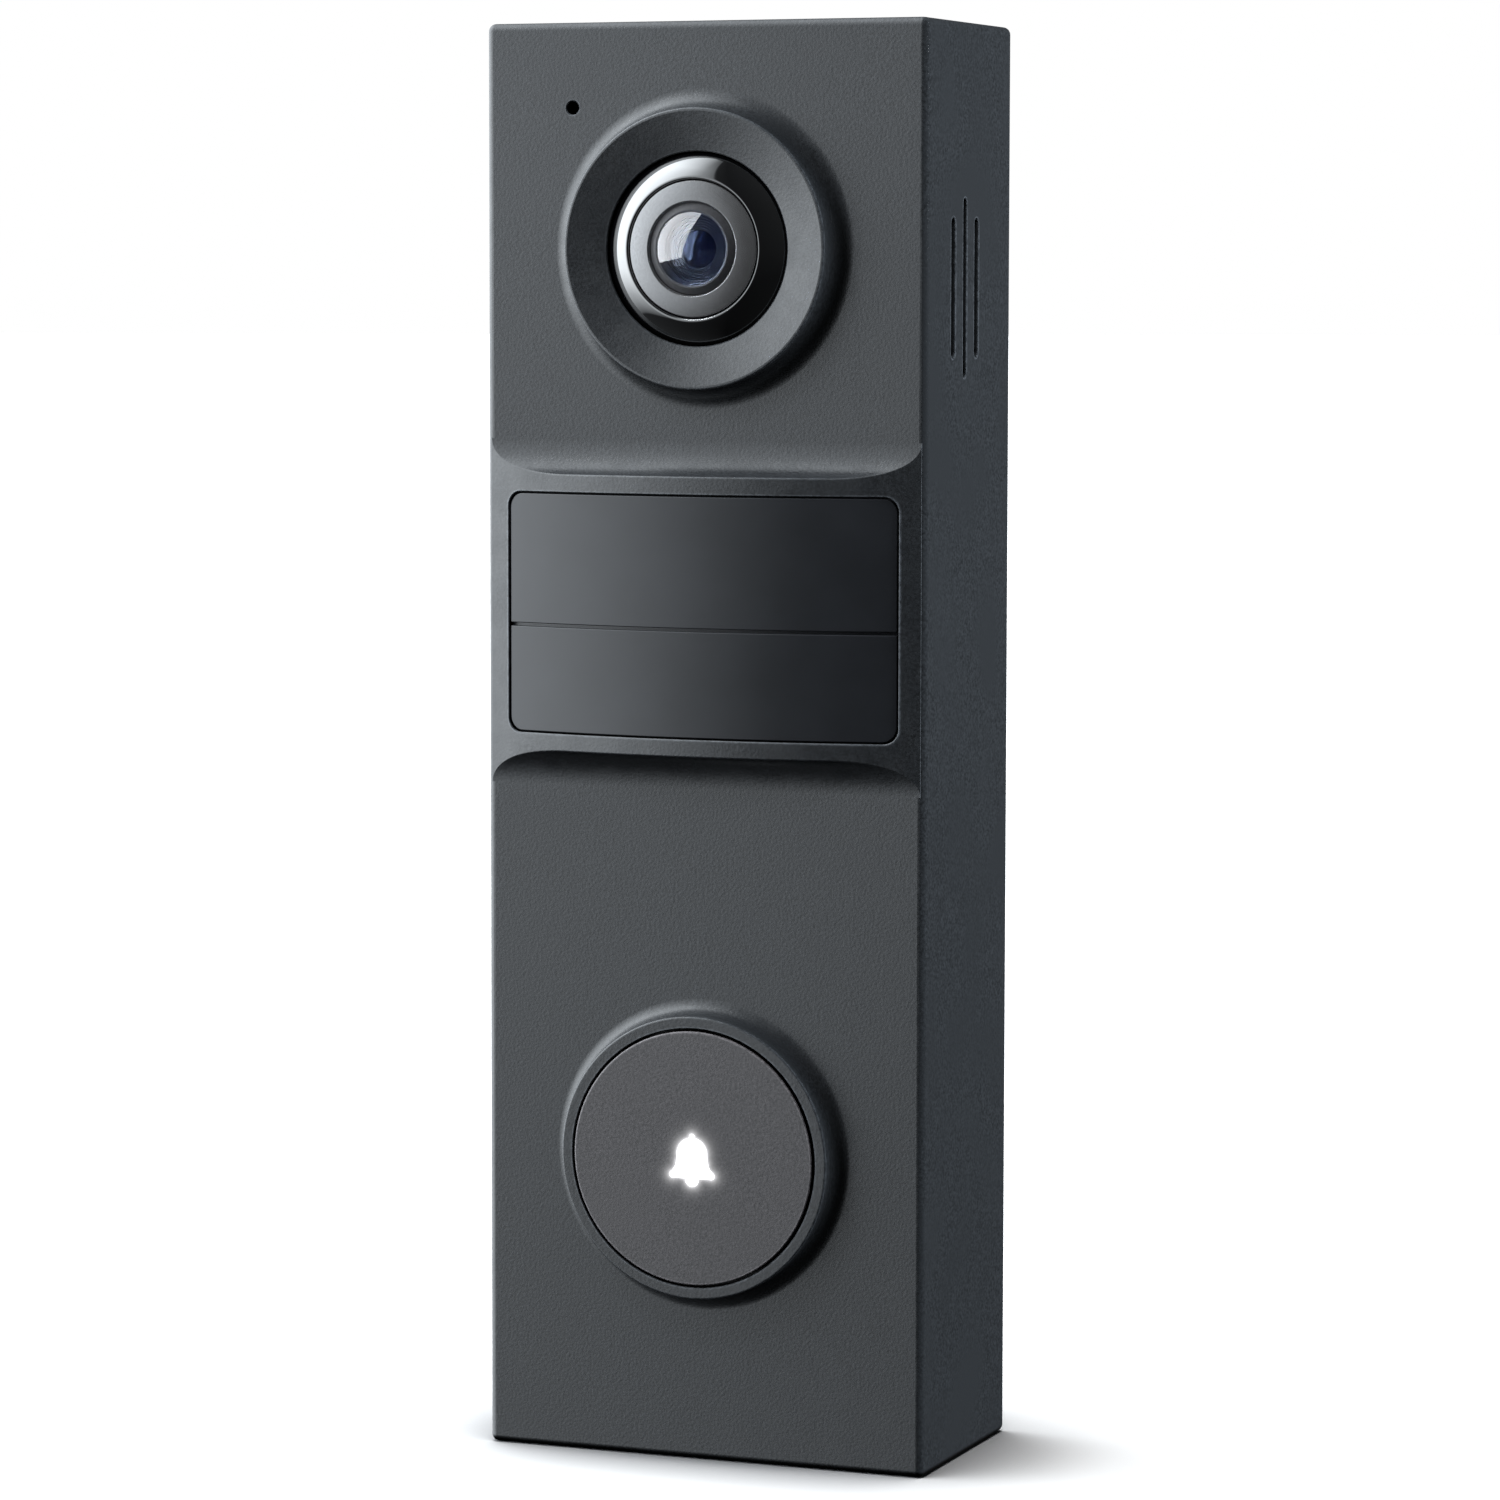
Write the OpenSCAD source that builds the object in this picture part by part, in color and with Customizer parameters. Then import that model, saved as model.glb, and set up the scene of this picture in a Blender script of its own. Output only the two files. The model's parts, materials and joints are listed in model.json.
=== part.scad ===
/* [Housing] */
// Width of the housing
body_w = 49; // [49:0.5:56]
// Height of the housing
body_h = 150; // [150:1:160]
// Depth of the housing from its flat front to its back edge
body_d = 26; // [26:0.5:30]
// Thickness of the housing's walls
wall = 2; // [1.8:0.1:2]
// Rounding of the housing's outer edges
edge_r = 0.8; // [0.4:0.1:1.2]

/* [Camera collar] */
// Height of the camera's centre above the base
camera_z = 126.6; // [126:0.1:127]
// Outer radius of the camera's raised collar
collar_r = 14.45; // [14:0.05:14.8]
// How far the collar's rim stands out of the front
collar_h = 2.95; // [2.5:0.05:3.2]
// Inner radius of the collar's dished face
dish_r = 10; // [9.9:0.05:10.2]
// Height of the dish's inner edge above the front
dish_h = 1.96; // [1.6:0.02:2.2]
// Rounding between the collar and the front
collar_fillet = 2.1; // [1:0.1:2.3]

/* [Lens] */
// How far the outer glass stands out of the front
lens_reach = 4.3; // [4.2:0.05:4.8]
// Radius of the outer glass
lens_r = 3.75; // [3.5:0.05:3.75]
// Radius of the lens barrel
barrel_r = 4.7; // [4.5:0.05:4.7]
// Outer radius of the grey ring around the barrel
bezel_r = 7; // [6.6:0.05:7]

/* [Middle band] */
// Height of the band's lower rim
band_low = 74.3; // [74:0.1:75]
// Height of the band's upper rim
band_top = 103.3; // [103:0.1:104]
// How far the band stands out at its middle
band_h = 3.6; // [3:0.1:3.8]
// Distance from the middle to where the band runs out flush
band_half = 24; // [23:0.1:24]
// Rounding between the band and the front
band_fillet = 2.5; // [1.5:0.1:2.6]

/* [Window] */
// Half width of the glossy window
window_half = 21.6; // [20.8:0.1:21.6]
// Lower edge of the window
window_low = 76.3; // [76.2:0.1:76.6]
// Upper edge of the window
window_top = 101.2; // [101:0.1:101.4]
// Height of the split between the two panes
window_split = 87.45; // [86:0.05:89]
// Corner rounding of the window
window_corner = 1.5; // [0.8:0.1:2]

/* [Button] */
// Height of the button's centre above the base
button_z = 32.4; // [32:0.1:33]
// Outer radius of the button's raised collar
button_collar_r = 14.85; // [14.5:0.05:15]
// How far the button's collar stands out of the front
button_collar_h = 2.84; // [2.5:0.02:3]
// Radius of the button's cap
cap_r = 13.36; // [13:0.02:13.4]
// Travel of the button
button_travel = 0.8; // [0.4:0.1:0.8]

/* [Battery] */
// Radius of a battery cell
cell_r = 9.2; // [9:0.05:9.2]
// Length of a battery cell
cell_l = 65; // [60:1:65]

/* [Wall bracket] */
// Distance between the two wall screw holes
wall_screw_spacing = 76; // [70:1:80]
// Radius of a wall screw hole
wall_screw_r = 2.2; // [2:0.1:2.6]
// How far the bracket slides to come off
bracket_travel = 8; // [6:0.5:8]

/* [Hidden] */
$fn = 96;
// The origin is under the middle of the housing's depth and the glass together
front_y = -(body_d - lens_reach) / 2;
cut = 1;
inner_half = body_w / 2 - wall;
sink = 0.05;
rim_chamfer = 0.15;
rim_w = 0.3;
collar_core_r = 6;

camera_hole_r = dish_r;
camera_board_y = 11;
camera_board_t = 1;
board_hole_r = 1.15;

// The lens stack and its rings, as radii and heights out of the front
lens_edge_h = 3.4;
lens_back_h = 1.7;
lens_fit = 0.05;
inner_lens_r = 2.95;
rear_lens_r = 2.25;
element_bulge = 0.5;
barrel_back = -6;
barrel_front = 2.9;
barrel_chamfer_h = 0.4;
bezel_back = -1;
bezel_outer_h = 2.86;
bezel_inner_h = 3.27;
surround_r = 9.87;
flange_r = 12.2;
flange_back = -3.5;
flange_front = -2.5;
crown_in = 7.4;
crown_w = 2.4;
crown_h = 3.08;
crown_steep = 46;
crown_shallow = 18;
crown_ball = crown_w / (sin(crown_steep) - sin(crown_shallow));

band_r = (band_half * band_half + band_h * band_h) / (2 * band_h);
pane_recess = 0.15;
pane_t = 1.25;
gasket_t = 0.25;
window_gap = 0.15;
pocket_margin = 1.3;

button_floor_y = 0.4;
button_bore_r = cap_r + 0.19;
cap_face_h = 3;
cap_t = 1.8;
button_fillet = 1.6;
light_hole_r = 5;
plunger_x = 0;
plunger_z = -8.5;
plunger_y = 0.2;
plunger_r = 1.5;
plunger_hole_r = 2.7;

slot_z = 122.65;
slot_ys = [7.9, 11.45, 15];
slot_ws = [1.3, 1.1, 1.3];
slot_ls = [14.45, 18.5, 14.45];
speaker_z = slot_z;
speaker_y = slot_ys[1];
speaker_w = 9.8;
speaker_l = 20.4;
speaker_back = 16.5;
speaker_ledge = 20.6;
speaker_gasket_t = 0.6;
speaker_mesh_t = 0.2;
speaker_face = inner_half - speaker_gasket_t - speaker_mesh_t;
magnet_w = 6.2;
magnet_l = 14.2;

mic_x = -14.7;
mic_z = 141.2;
mic_y = 4.2;
mic_hole_r = 0.7;
mic_boot_r = 2.6;
mic_mesh_t = 0.15;

cell_x = 9.5;
cell_y = 12.4;
cell_z = 7.5;

main_board_y = 15;
main_board_t = 1.2;
main_board_back = main_board_y + main_board_t;
sensor_board_y = 4.6;
sensor_board_t = 1;
pir_z = 94.4;
ir_row_z = 81.9;
ir_led_x = 9;
button_board_y = wall;
button_board_t = 0.6;

cover_y = 21.8;
cover_back = 24;
cover_half = inner_half - 0.2;
cover_low = wall + 0.2;
cover_top = body_h - wall - 0.2;
ledge_y = cover_y - 0.4;
ledge_in = 1.3;

bracket_y = 24.1;
bracket_low = 10.5;
bracket_top = 145.5;
bracket_half = 22.3;
border_in = 20.7;
border_t = 1;
tab_y = bracket_y + border_t + 0.15;
tab_l = 8;
tab_zs = [20, 112];
port_window = [12, 76, 106];
wire_window = [9.5, 123, 142];
wall_screw_z = 76;
foot_half = 2.6;
foot_y = 22.4;
foot_top = 19.9;

port_z = 90;
usb_x = 1.8;
usb_w = 8.94;
usb_h = 3.16;
usb_back = 23;
reset_x = -5.6;
flap_w = 16;
flap_low = 82.6;
flap_top = 97.4;
flap_t = 0.9;
terminal_z = 130;
terminal_x = 4.2;
terminal_half = 7.8;
terminal_rise = 3.8;
terminal_face = 22.4;
terminal_screw_r = 1.2;
security_y = 23.8;
security_r = 1;
security_l = 16;

camera_posts = [[-12, -8.9], [12, -8.9], [-12, 8.9], [12, 8.9]];
board_posts = [[-18.8, 76.5], [18.8, 76.5], [-18.8, 138], [18.8, 138]];
sensor_posts = [[-16.5, 103.3], [16.5, 103.3]];
cover_posts = [for (z = [4.8, 108.5, 145.2]) for (s = [-1, 1]) [s * 19.6, z]];
post_r = 2;
board_screw_r = 1;
cover_screw_r = 1.1;
screw_gap = 0.06;
board_screw_l = 4.6;
board_head_r = 1.8;
board_head_h = 1.2;
cover_screw_l = 8;
screw_seat_r = 2.3;
screw_seat_t = 1;

// Colours
shell_grey = [0.15, 0.16, 0.175];
cap_grey = [0.2, 0.19, 0.195];
gloss_black = [0.02, 0.02, 0.025];
satin_grey = [0.45, 0.46, 0.47];
board_green = [0.05, 0.25, 0.14];
metal = [0.72, 0.72, 0.7];
rubber_black = [0.06, 0.06, 0.06];

// Everything is drawn with y = 0 on the housing's flat front and y growing to the back
module placed() {
    translate([0, front_y, 0])
        children();
}

// Turns a shape that is built upwards so that it points out of the front
module out_of_front(x, z) {
    translate([x, 0, z])
        rotate([90, 0, 0])
            children();
}

// A cylinder that runs towards the back, from depth y0 to depth y1
module rod_y(x, z, r, y0, y1) {
    translate([x, y1, z])
        rotate([90, 0, 0])
            cylinder(r = r, h = y1 - y0);
}

// A box given by its two opposite corners
module span(low, high) {
    translate(low)
        cube(high - low);
}

// A rectangle with rounded corners, centred on its own middle
module round_rect(w, h, r) {
    square([w - 2 * r, h], center = true);
    square([w, h - 2 * r], center = true);
    for (x = [-1, 1])
        for (y = [-1, 1])
            translate([x * (w / 2 - r), y * (h / 2 - r)])
                circle(r = r);
}

// A plate with rounded corners that lies across the depth
module round_plate(x, z, w, h, r, y0, y1) {
    translate([x, y1, z])
        rotate([90, 0, 0])
            linear_extrude(height = y1 - y0)
                round_rect(w, h, r);
}

// A round-headed screw that points to the front, with its head's underside at depth y
module screw_y(x, z, r, l, y, head_r, head_h) {
    rod_y(x, z, r, y - l, y);
    difference() {
        rod_y(x, z, head_r, y, y + head_h);
        for (turn = [0, 90])
            translate([x, y + head_h, z])
                rotate([0, turn, 0])
                    cube([head_r * 1.2, head_h, head_r * 0.32], center = true);
    }
}

// A flat ribbon bent along a path in depth and height, w wide along x
module ribbon(x, w, points) {
    translate([x + w / 2, 0, 0])
        rotate([90, 0, -90])
            mirror([1, 0, 0])
                linear_extrude(height = w)
                    polygon(points);
}

module outer_block() {
    intersection() {
        round_plate(0, body_h / 2, body_w, body_h, edge_r, 0, body_d);
        translate([0, body_d / 2, 0])
            linear_extrude(height = body_h)
                round_rect(body_w, body_d, edge_r);
        translate([-body_w / 2, body_d / 2, body_h / 2])
            rotate([90, 0, 90])
                linear_extrude(height = body_w)
                    round_rect(body_d, body_h, edge_r);
    }
}

// A round collar with a hollow rounding where it leaves the front
module collar(r, h, fillet, bore_r, face_h) {
    rotate_extrude() {
        difference() {
            square([r + fillet, fillet]);
            translate([r + fillet, fillet - sink])
                circle(r = fillet);
            translate([r + fillet, fillet - sink])
                square(fillet);
            square([bore_r, fillet]);
        }
        polygon([[bore_r, -wall / 2], [r + fillet / 2, -wall / 2], [r + fillet / 2, 0], [r, 0],
            [r, h - rim_chamfer], [r - rim_chamfer, h], [r - rim_w, h], [bore_r, face_h]]);
    }
}

module band() {
    intersection() {
        translate([0, band_r - band_h, band_low - band_fillet])
            cylinder(r = band_r, h = band_top - band_low + 2 * band_fillet, $fn = 360);
        translate([-body_w / 2, 0, (band_low + band_top) / 2])
            rotate([90, 0, 90])
                linear_extrude(height = body_w)
                    band_profile((band_top - band_low) / 2);
    }
}

// Depth runs along the first axis; half is half the band's height at its rim
module band_profile(half) {
    difference() {
        translate([-band_h - cut, -half - band_fillet])
            square([band_h + cut + wall / 2, 2 * (half + band_fillet)]);
        for (s = [-1, 1]) {
            translate([sink - band_fillet, s * (half + band_fillet)])
                circle(r = band_fillet);
            translate([-2 * band_h - cut - band_fillet, s > 0 ? half : -half - 2 * band_fillet])
                square([2 * band_h + cut + sink, 2 * band_fillet]);
        }
    }
}

module speaker_slots() {
    for (i = [0:2])
        translate([inner_half - cut, slot_ys[i], slot_z])
            rotate([90, 0, 90])
                linear_extrude(height = wall + 2 * cut) {
                    square([slot_ws[i], slot_ls[i] - slot_ws[i]], center = true);
                    for (s = [-1, 1])
                        translate([0, s * (slot_ls[i] - slot_ws[i]) / 2])
                            circle(d = slot_ws[i], $fn = 32);
                }
}

// The part of a window-shaped prism between two depths below the band's curved face
module band_layer(half, low, top, corner, depth0, depth1) {
    intersection() {
        round_plate(0, (low + top) / 2, 2 * half, top - low, corner, -band_h - cut, wall);
        difference() {
            translate([0, band_r - band_h, low - cut])
                cylinder(r = band_r - depth0, h = top - low + 2 * cut, $fn = 360);
            translate([0, band_r - band_h, low - 2 * cut])
                cylinder(r = band_r - depth1, h = top - low + 4 * cut, $fn = 360);
        }
    }
}

module window_recess() {
    band_layer(window_half + window_gap, window_low - window_gap, window_top + window_gap,
        window_corner, -1, pane_recess + pane_t + gasket_t);
    round_plate(0, (window_low + window_top) / 2, 2 * (window_half - pocket_margin),
        window_top - window_low - 2 * pocket_margin, 0.8, -band_h - cut, wall + cut);
}

module posts() {
    for (p = camera_posts)
        rod_y(p[0], camera_z + p[1], post_r, wall - cut / 2, camera_board_y);
    for (p = board_posts)
        rod_y(p[0], p[1], post_r, wall - cut / 2, main_board_y);
    for (p = sensor_posts)
        rod_y(p[0], p[1], post_r, wall - cut / 2, sensor_board_y);
    for (p = cover_posts)
        rod_y(p[0], p[1], post_r, wall - cut / 2, ledge_y);
}

module pilot_holes() {
    for (p = camera_posts)
        rod_y(p[0], camera_z + p[1], board_screw_r + screw_gap, 5, camera_board_y + cut);
    for (p = board_posts)
        rod_y(p[0], p[1], board_screw_r + screw_gap, 9, main_board_y + cut);
    for (p = sensor_posts)
        rod_y(p[0], p[1], board_screw_r + screw_gap, 0.5, sensor_board_y + cut);
    for (p = cover_posts)
        rod_y(p[0], p[1], cover_screw_r + screw_gap, 14, ledge_y + cut);
}

// The rim that the back cover and its seal lie on
module ledge() {
    difference() {
        span([-inner_half - cut / 2, ledge_y - 2, wall - cut / 2],
            [inner_half + cut / 2, ledge_y, body_h - wall + cut / 2]);
        span([-inner_half + ledge_in, ledge_y - 3, wall + ledge_in],
            [inner_half - ledge_in, ledge_y + cut, body_h - wall - ledge_in]);
    }
}

// Four lips that the wall bracket's thin borders slide under
module bracket_tabs() {
    for (s = [-1, 1])
        for (z = tab_zs)
            span([s > 0 ? inner_half - 1.4 : -inner_half - cut / 2, tab_y, z],
                [s > 0 ? inner_half + cut / 2 : -inner_half + 1.4, body_d - 0.02, z + tab_l]);
}

module front_housing() {
    color(shell_grey) placed() {
        difference() {
            union() {
                difference() {
                    union() {
                        outer_block();
                        out_of_front(0, camera_z)
                            collar(collar_r, collar_h, collar_fillet, collar_core_r, dish_h
                                - (dish_r - collar_core_r) * (collar_h - dish_h)
                                / (collar_r - rim_w - dish_r));
                        out_of_front(0, button_z)
                            collar(button_collar_r, button_collar_h, button_fillet,
                                collar_core_r, button_collar_h);
                        band();
                    }
                    span([-inner_half, wall, wall],
                        [inner_half, body_d + cut, body_h - wall]);
                }
                posts();
                ledge();
                bracket_tabs();
            }
            out_of_front(0, camera_z)
                translate([0, 0, -wall - cut])
                    cylinder(r = camera_hole_r, h = wall + cut + collar_h);
            out_of_front(0, button_z)
                translate([0, 0, -button_floor_y])
                    cylinder(r = button_bore_r, h = 2 * cut + collar_h + button_floor_y);
            rod_y(0, button_z, light_hole_r, -cut, wall + cut);
            rod_y(plunger_x, button_z + plunger_z, plunger_hole_r, -cut, wall + cut);
            window_recess();
            rod_y(mic_x, mic_z, mic_hole_r, -cut, wall + cut);
            speaker_slots();
            pilot_holes();
            translate([0, security_y, -cut])
                cylinder(r = security_r + 0.1, h = wall + 2 * cut);
            translate([0, security_y, -cut])
                cylinder(r = 1.7, h = 1.5 + cut);
        }
    }
}

// Points on the surround's round crown, from its outer edge to its top
function crown(steps) = [for (i = [0:steps])
    let (a = 90 - crown_steep + (crown_steep - crown_shallow) * i / steps)
    [crown_in + crown_ball * (cos(a) - sin(crown_shallow)),
        crown_h + crown_ball * (sin(a) - cos(crown_shallow))]];

module lens_surround() {
    bore_r = bezel_r + lens_fit;
    edge_h = crown(1)[0][1] - 0.1;
    color(gloss_black) placed() out_of_front(0, camera_z)
        rotate_extrude()
            polygon(concat([[bore_r, flange_back], [flange_r, flange_back],
                [flange_r, flange_front], [surround_r, flange_front], [surround_r, edge_h]],
                crown(7), [[bore_r + 0.15, crown_h - 0.09], [bore_r, crown_h - 0.3]]));
}

module lens_bezel() {
    bore_r = barrel_r + lens_fit;
    color(satin_grey) placed() out_of_front(0, camera_z)
        rotate_extrude()
            polygon([[bore_r, bezel_back], [bezel_r, bezel_back], [bezel_r, bezel_outer_h],
                [bezel_r - 0.1, bezel_outer_h + 0.11], [bore_r + 0.2, bezel_inner_h],
                [bore_r + 0.1, bezel_inner_h - 0.02], [bore_r, bezel_inner_h - 0.2]]);
}

module front_lens() {
    cap_rise = lens_reach - lens_edge_h;
    cap_radius = (lens_r * lens_r + cap_rise * cap_rise) / (2 * cap_rise);
    color([0.1, 0.12, 0.2, 0.5]) placed() out_of_front(0, camera_z)
        intersection() {
            translate([0, 0, lens_back_h])
                cylinder(r = lens_r, h = lens_reach);
            translate([0, 0, lens_reach - cap_radius])
                sphere(r = cap_radius, $fn = 128);
        }
}

module lens_element(r, back, front, bulge) {
    radius = (r * r + bulge * bulge) / (2 * bulge);
    intersection() {
        translate([0, 0, back])
            cylinder(r = r, h = front - back + bulge);
        translate([0, 0, front + bulge - radius])
            sphere(r = radius, $fn = 128);
    }
}

module inner_lenses() {
    color([0.15, 0.18, 0.3, 0.5]) placed() out_of_front(0, camera_z) {
        lens_element(inner_lens_r, -0.45, 0.6, element_bulge);
        lens_element(rear_lens_r, -2.9, -2, element_bulge);
    }
}

module lens_barrel() {
    // Radius and floor height of each step of the bore, from the front glass to the back
    steps = [[lens_r + 0.03, lens_back_h - 0.1], [inner_lens_r + lens_fit, -0.5],
        [rear_lens_r + lens_fit, -3], [1.7, barrel_back - cut]];
    color(gloss_black) placed() out_of_front(0, camera_z)
        difference() {
            union() {
                translate([0, 0, barrel_back])
                    cylinder(r = barrel_r, h = barrel_front - barrel_back);
                translate([0, 0, barrel_front])
                    cylinder(r1 = barrel_r, r2 = barrel_r - 0.7, h = barrel_chamfer_h);
            }
            for (s = steps)
                translate([0, 0, s[1]])
                    cylinder(r = s[0], h = lens_reach - s[1]);
        }
}

module lens_holder() {
    sleeve_r = 6.4;
    sleeve_back = -7;
    sleeve_l = 5.6;
    color(gloss_black) placed() out_of_front(0, camera_z)
        difference() {
            union() {
                translate([0, 0, sleeve_back])
                    cylinder(r = sleeve_r, h = sleeve_l);
                span([-6, -6.5, -camera_board_y], [9.2, 6.5, -6.2]);
            }
            translate([0, 0, sleeve_back - cut])
                cylinder(r = barrel_r + lens_fit, h = sleeve_l + 4 * cut);
            span([-4.8, -4.6, -camera_board_y - cut], [8, 4.6, -6.9]);
        }
}

module ir_cut_filter() {
    filter_w = 5.8;
    filter_h = 6.4;
    filter_y = 7.3;
    filter_t = 0.5;
    color([0.3, 0.5, 0.55]) placed() out_of_front(0, camera_z)
        span([-filter_w / 2, -filter_h / 2, -filter_y - filter_t],
            [filter_w / 2, filter_h / 2, -filter_y]);
}

module ir_cut_coil() {
    coil_r = 1.3;
    coil_l = 8;
    end_r = 1.8;
    end_t = 0.6;
    color([0.7, 0.4, 0.2]) placed() out_of_front(0, camera_z)
        translate([-8, coil_l / 2, -8.6])
            rotate([90, 0, 0]) {
                cylinder(r = coil_r, h = coil_l);
                for (z = [0, coil_l - end_t])
                    translate([0, 0, z])
                        cylinder(r = end_r, h = end_t);
            }
}

module image_sensor() {
    sensor_w = 6.4;
    sensor_h = 5.4;
    sensor_t = 0.9;
    color([0.2, 0.3, 0.35]) placed()
        round_plate(0, camera_z, sensor_w, sensor_h, 0.2, camera_board_y - sensor_t,
            camera_board_y);
}

module camera_board() {
    color(board_green) placed()
        difference() {
            round_plate(0, camera_z, 28, 22, 1, camera_board_y, camera_board_y + camera_board_t);
            for (p = camera_posts)
                rod_y(p[0], camera_z + p[1], board_hole_r, camera_board_y - cut,
                    camera_board_y + camera_board_t + cut);
        }
}

module lens_seal() {
    color(rubber_black) placed() out_of_front(0, camera_z)
        translate([0, 0, flange_front])
            difference() {
                cylinder(r = flange_r, h = -wall - flange_front);
                translate([0, 0, -cut])
                    cylinder(r = surround_r + 0.03, h = 3 * cut);
            }
}

module pane(low, top) {
    intersection() {
        band_layer(window_half, window_low, window_top, window_corner, pane_recess,
            pane_recess + pane_t);
        span([-body_w, -body_d, low], [body_w, body_d, top]);
    }
}

module pir_window() {
    color(gloss_black) placed()
        pane(window_split + 0.17, window_top + cut);
}

module ir_window() {
    color(gloss_black) placed()
        pane(window_low - cut, window_split - 0.17);
}

module window_gasket() {
    color(rubber_black) placed()
        difference() {
            band_layer(window_half, window_low, window_top, window_corner,
                pane_recess + pane_t, pane_recess + pane_t + gasket_t);
            round_plate(0, (window_low + window_top) / 2, 2 * (window_half - pocket_margin),
                window_top - window_low - 2 * pocket_margin, 0.8, -band_h - cut, wall + cut);
        }
}

module pir_sensor() {
    can_r = 4.1;
    rim_r = 4.6;
    rim_y = 4;
    can_y = 0.4;
    color(metal) placed()
        difference() {
            union() {
                rod_y(0, pir_z, can_r, can_y, sensor_board_y);
                rod_y(0, pir_z, rim_r, rim_y, sensor_board_y);
            }
            round_plate(0, pir_z, 4, 3, 0.3, 0, can_y + 0.2);
        }
}

module ir_leds() {
    base_w = 3.5;
    base_y = 3.6;
    dome_r = 1.5;
    color([0.9, 0.85, 0.7]) placed()
        for (x = [-ir_led_x, ir_led_x]) {
            round_plate(x, ir_row_z, base_w, base_w, 0.2, base_y, sensor_board_y);
            intersection() {
                rod_y(x, ir_row_z, dome_r, base_y - 1.6, base_y);
                translate([x, base_y, ir_row_z])
                    sphere(r = dome_r, $fn = 64);
            }
        }
}

module light_sensor() {
    color([0.6, 0.6, 0.55]) placed()
        round_plate(0, ir_row_z, 2, 2, 0.1, sensor_board_y - 0.7, sensor_board_y);
}

module sensor_board() {
    color(board_green) placed()
        difference() {
            round_plate(0, 92.2, 37, 26.2, 0.8, sensor_board_y, sensor_board_y + sensor_board_t);
            for (p = sensor_posts)
                rod_y(p[0], p[1], board_hole_r, sensor_board_y - cut, sensor_board_y + 2 * cut);
        }
}

module mic_mesh() {
    color([0.2, 0.2, 0.2]) placed()
        rod_y(mic_x, mic_z, mic_boot_r - 0.4, wall, wall + mic_mesh_t);
}

module mic_boot() {
    color(rubber_black) placed()
        difference() {
            rod_y(mic_x, mic_z, mic_boot_r, wall + mic_mesh_t, mic_y);
            rod_y(mic_x, mic_z, mic_hole_r - 0.1, wall - cut, mic_y + cut);
        }
}

module microphone() {
    color(metal) placed()
        round_plate(mic_x, mic_z, 3.6, 2.8, 0.2, mic_y, mic_y + 1.1);
}

// A rounded plate that lies against the right-hand wall, from x0 to x1
module side_plate(w, h, r, x0, x1) {
    translate([x0, speaker_y, speaker_z])
        rotate([90, 0, 90])
            linear_extrude(height = x1 - x0)
                round_rect(w, h, r);
}

module speaker_frame() {
    color(gloss_black) placed()
        difference() {
            side_plate(speaker_w, speaker_l, 2, speaker_back, speaker_face);
            side_plate(speaker_w - 1.6, speaker_l - 1.6, 1.4, speaker_ledge, inner_half);
            side_plate(magnet_w + 0.2, magnet_l + 0.2, 1, speaker_back - cut, inner_half);
        }
}

module speaker_cone() {
    color([0.12, 0.12, 0.13]) placed()
        side_plate(speaker_w - 1.8, speaker_l - 1.8, 1.3, speaker_ledge + sink,
            speaker_ledge + 0.4);
}

module speaker_magnet() {
    color(metal) placed()
        side_plate(magnet_w, magnet_l, 0.8, speaker_back + 0.1, speaker_ledge - 0.4);
}

module speaker_gasket() {
    color(rubber_black) placed()
        difference() {
            side_plate(speaker_w, speaker_l, 2, speaker_face, inner_half - speaker_mesh_t);
            side_plate(speaker_w - 1.4, speaker_l - 1.4, 1.4, speaker_ledge, inner_half);
        }
}

module speaker_mesh() {
    color([0.1, 0.1, 0.1]) placed()
        side_plate(speaker_w, speaker_l, 2, inner_half - speaker_mesh_t, inner_half);
}

module main_board() {
    color(board_green) placed()
        difference() {
            union() {
                span([-20.8, main_board_y, 74], [20.8, main_board_back, 105.5]);
                span([-15.2, main_board_y, 105], [15.2, main_board_back, 135]);
                span([-20.8, main_board_y, 134.5], [20.8, main_board_back, 142.8]);
            }
            for (p = board_posts)
                rod_y(p[0], p[1], board_hole_r, main_board_y - cut, main_board_back + cut);
        }
}

module shield_can() {
    sheet = 0.2;
    low = [-15, 12.6, 80];
    high = [7, main_board_y, 104];
    color(metal) placed()
        difference() {
            span(low, high);
            span(low + [sheet, sheet, sheet], high + [-sheet, cut, -sheet]);
        }
}

module board_chips() {
    color([0.08, 0.08, 0.09]) placed() {
        span([-12, 13.6, 84], [0, main_board_y, 96]);
        span([10, 13.8, 84], [16, main_board_y, 92]);
        span([9, 13.4, 96], [17, main_board_y, 101]);
        span([-12, main_board_back, 136], [-5, main_board_back + 1.4, 141]);
        span([8, main_board_back, 100], [14, main_board_back + 2.8, 106]);
    }
}

module usb_port() {
    color(metal) placed()
        difference() {
            round_plate(usb_x, port_z, usb_w, usb_h, 1.2, main_board_back, usb_back);
            difference() {
                round_plate(usb_x, port_z, usb_w - 0.6, usb_h - 0.6, 1, main_board_back + 0.6,
                    usb_back + cut);
                round_plate(usb_x, port_z, 6.6, 0.7, 0.2, main_board_back, usb_back - 0.6);
            }
        }
}

module memory_card_slot() {
    side_t = 1.4;
    sheet = 0.4;
    low = [-14, main_board_back, 110];
    high = [1, main_board_back + 1.9, 124];
    color(metal) placed()
        difference() {
            span(low, high);
            span(low + [side_t, sheet, -cut], high - [side_t, sheet, cut]);
        }
}

module reset_switch() {
    switch_w = 4;
    switch_back = 18.6;
    color([0.15, 0.15, 0.15]) placed() {
        span([reset_x - switch_w / 2, main_board_back, port_z - switch_w / 2],
            [reset_x + switch_w / 2, switch_back, port_z + switch_w / 2]);
        rod_y(reset_x, port_z, 1, switch_back - 0.1, switch_back + 0.8);
    }
}

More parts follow.
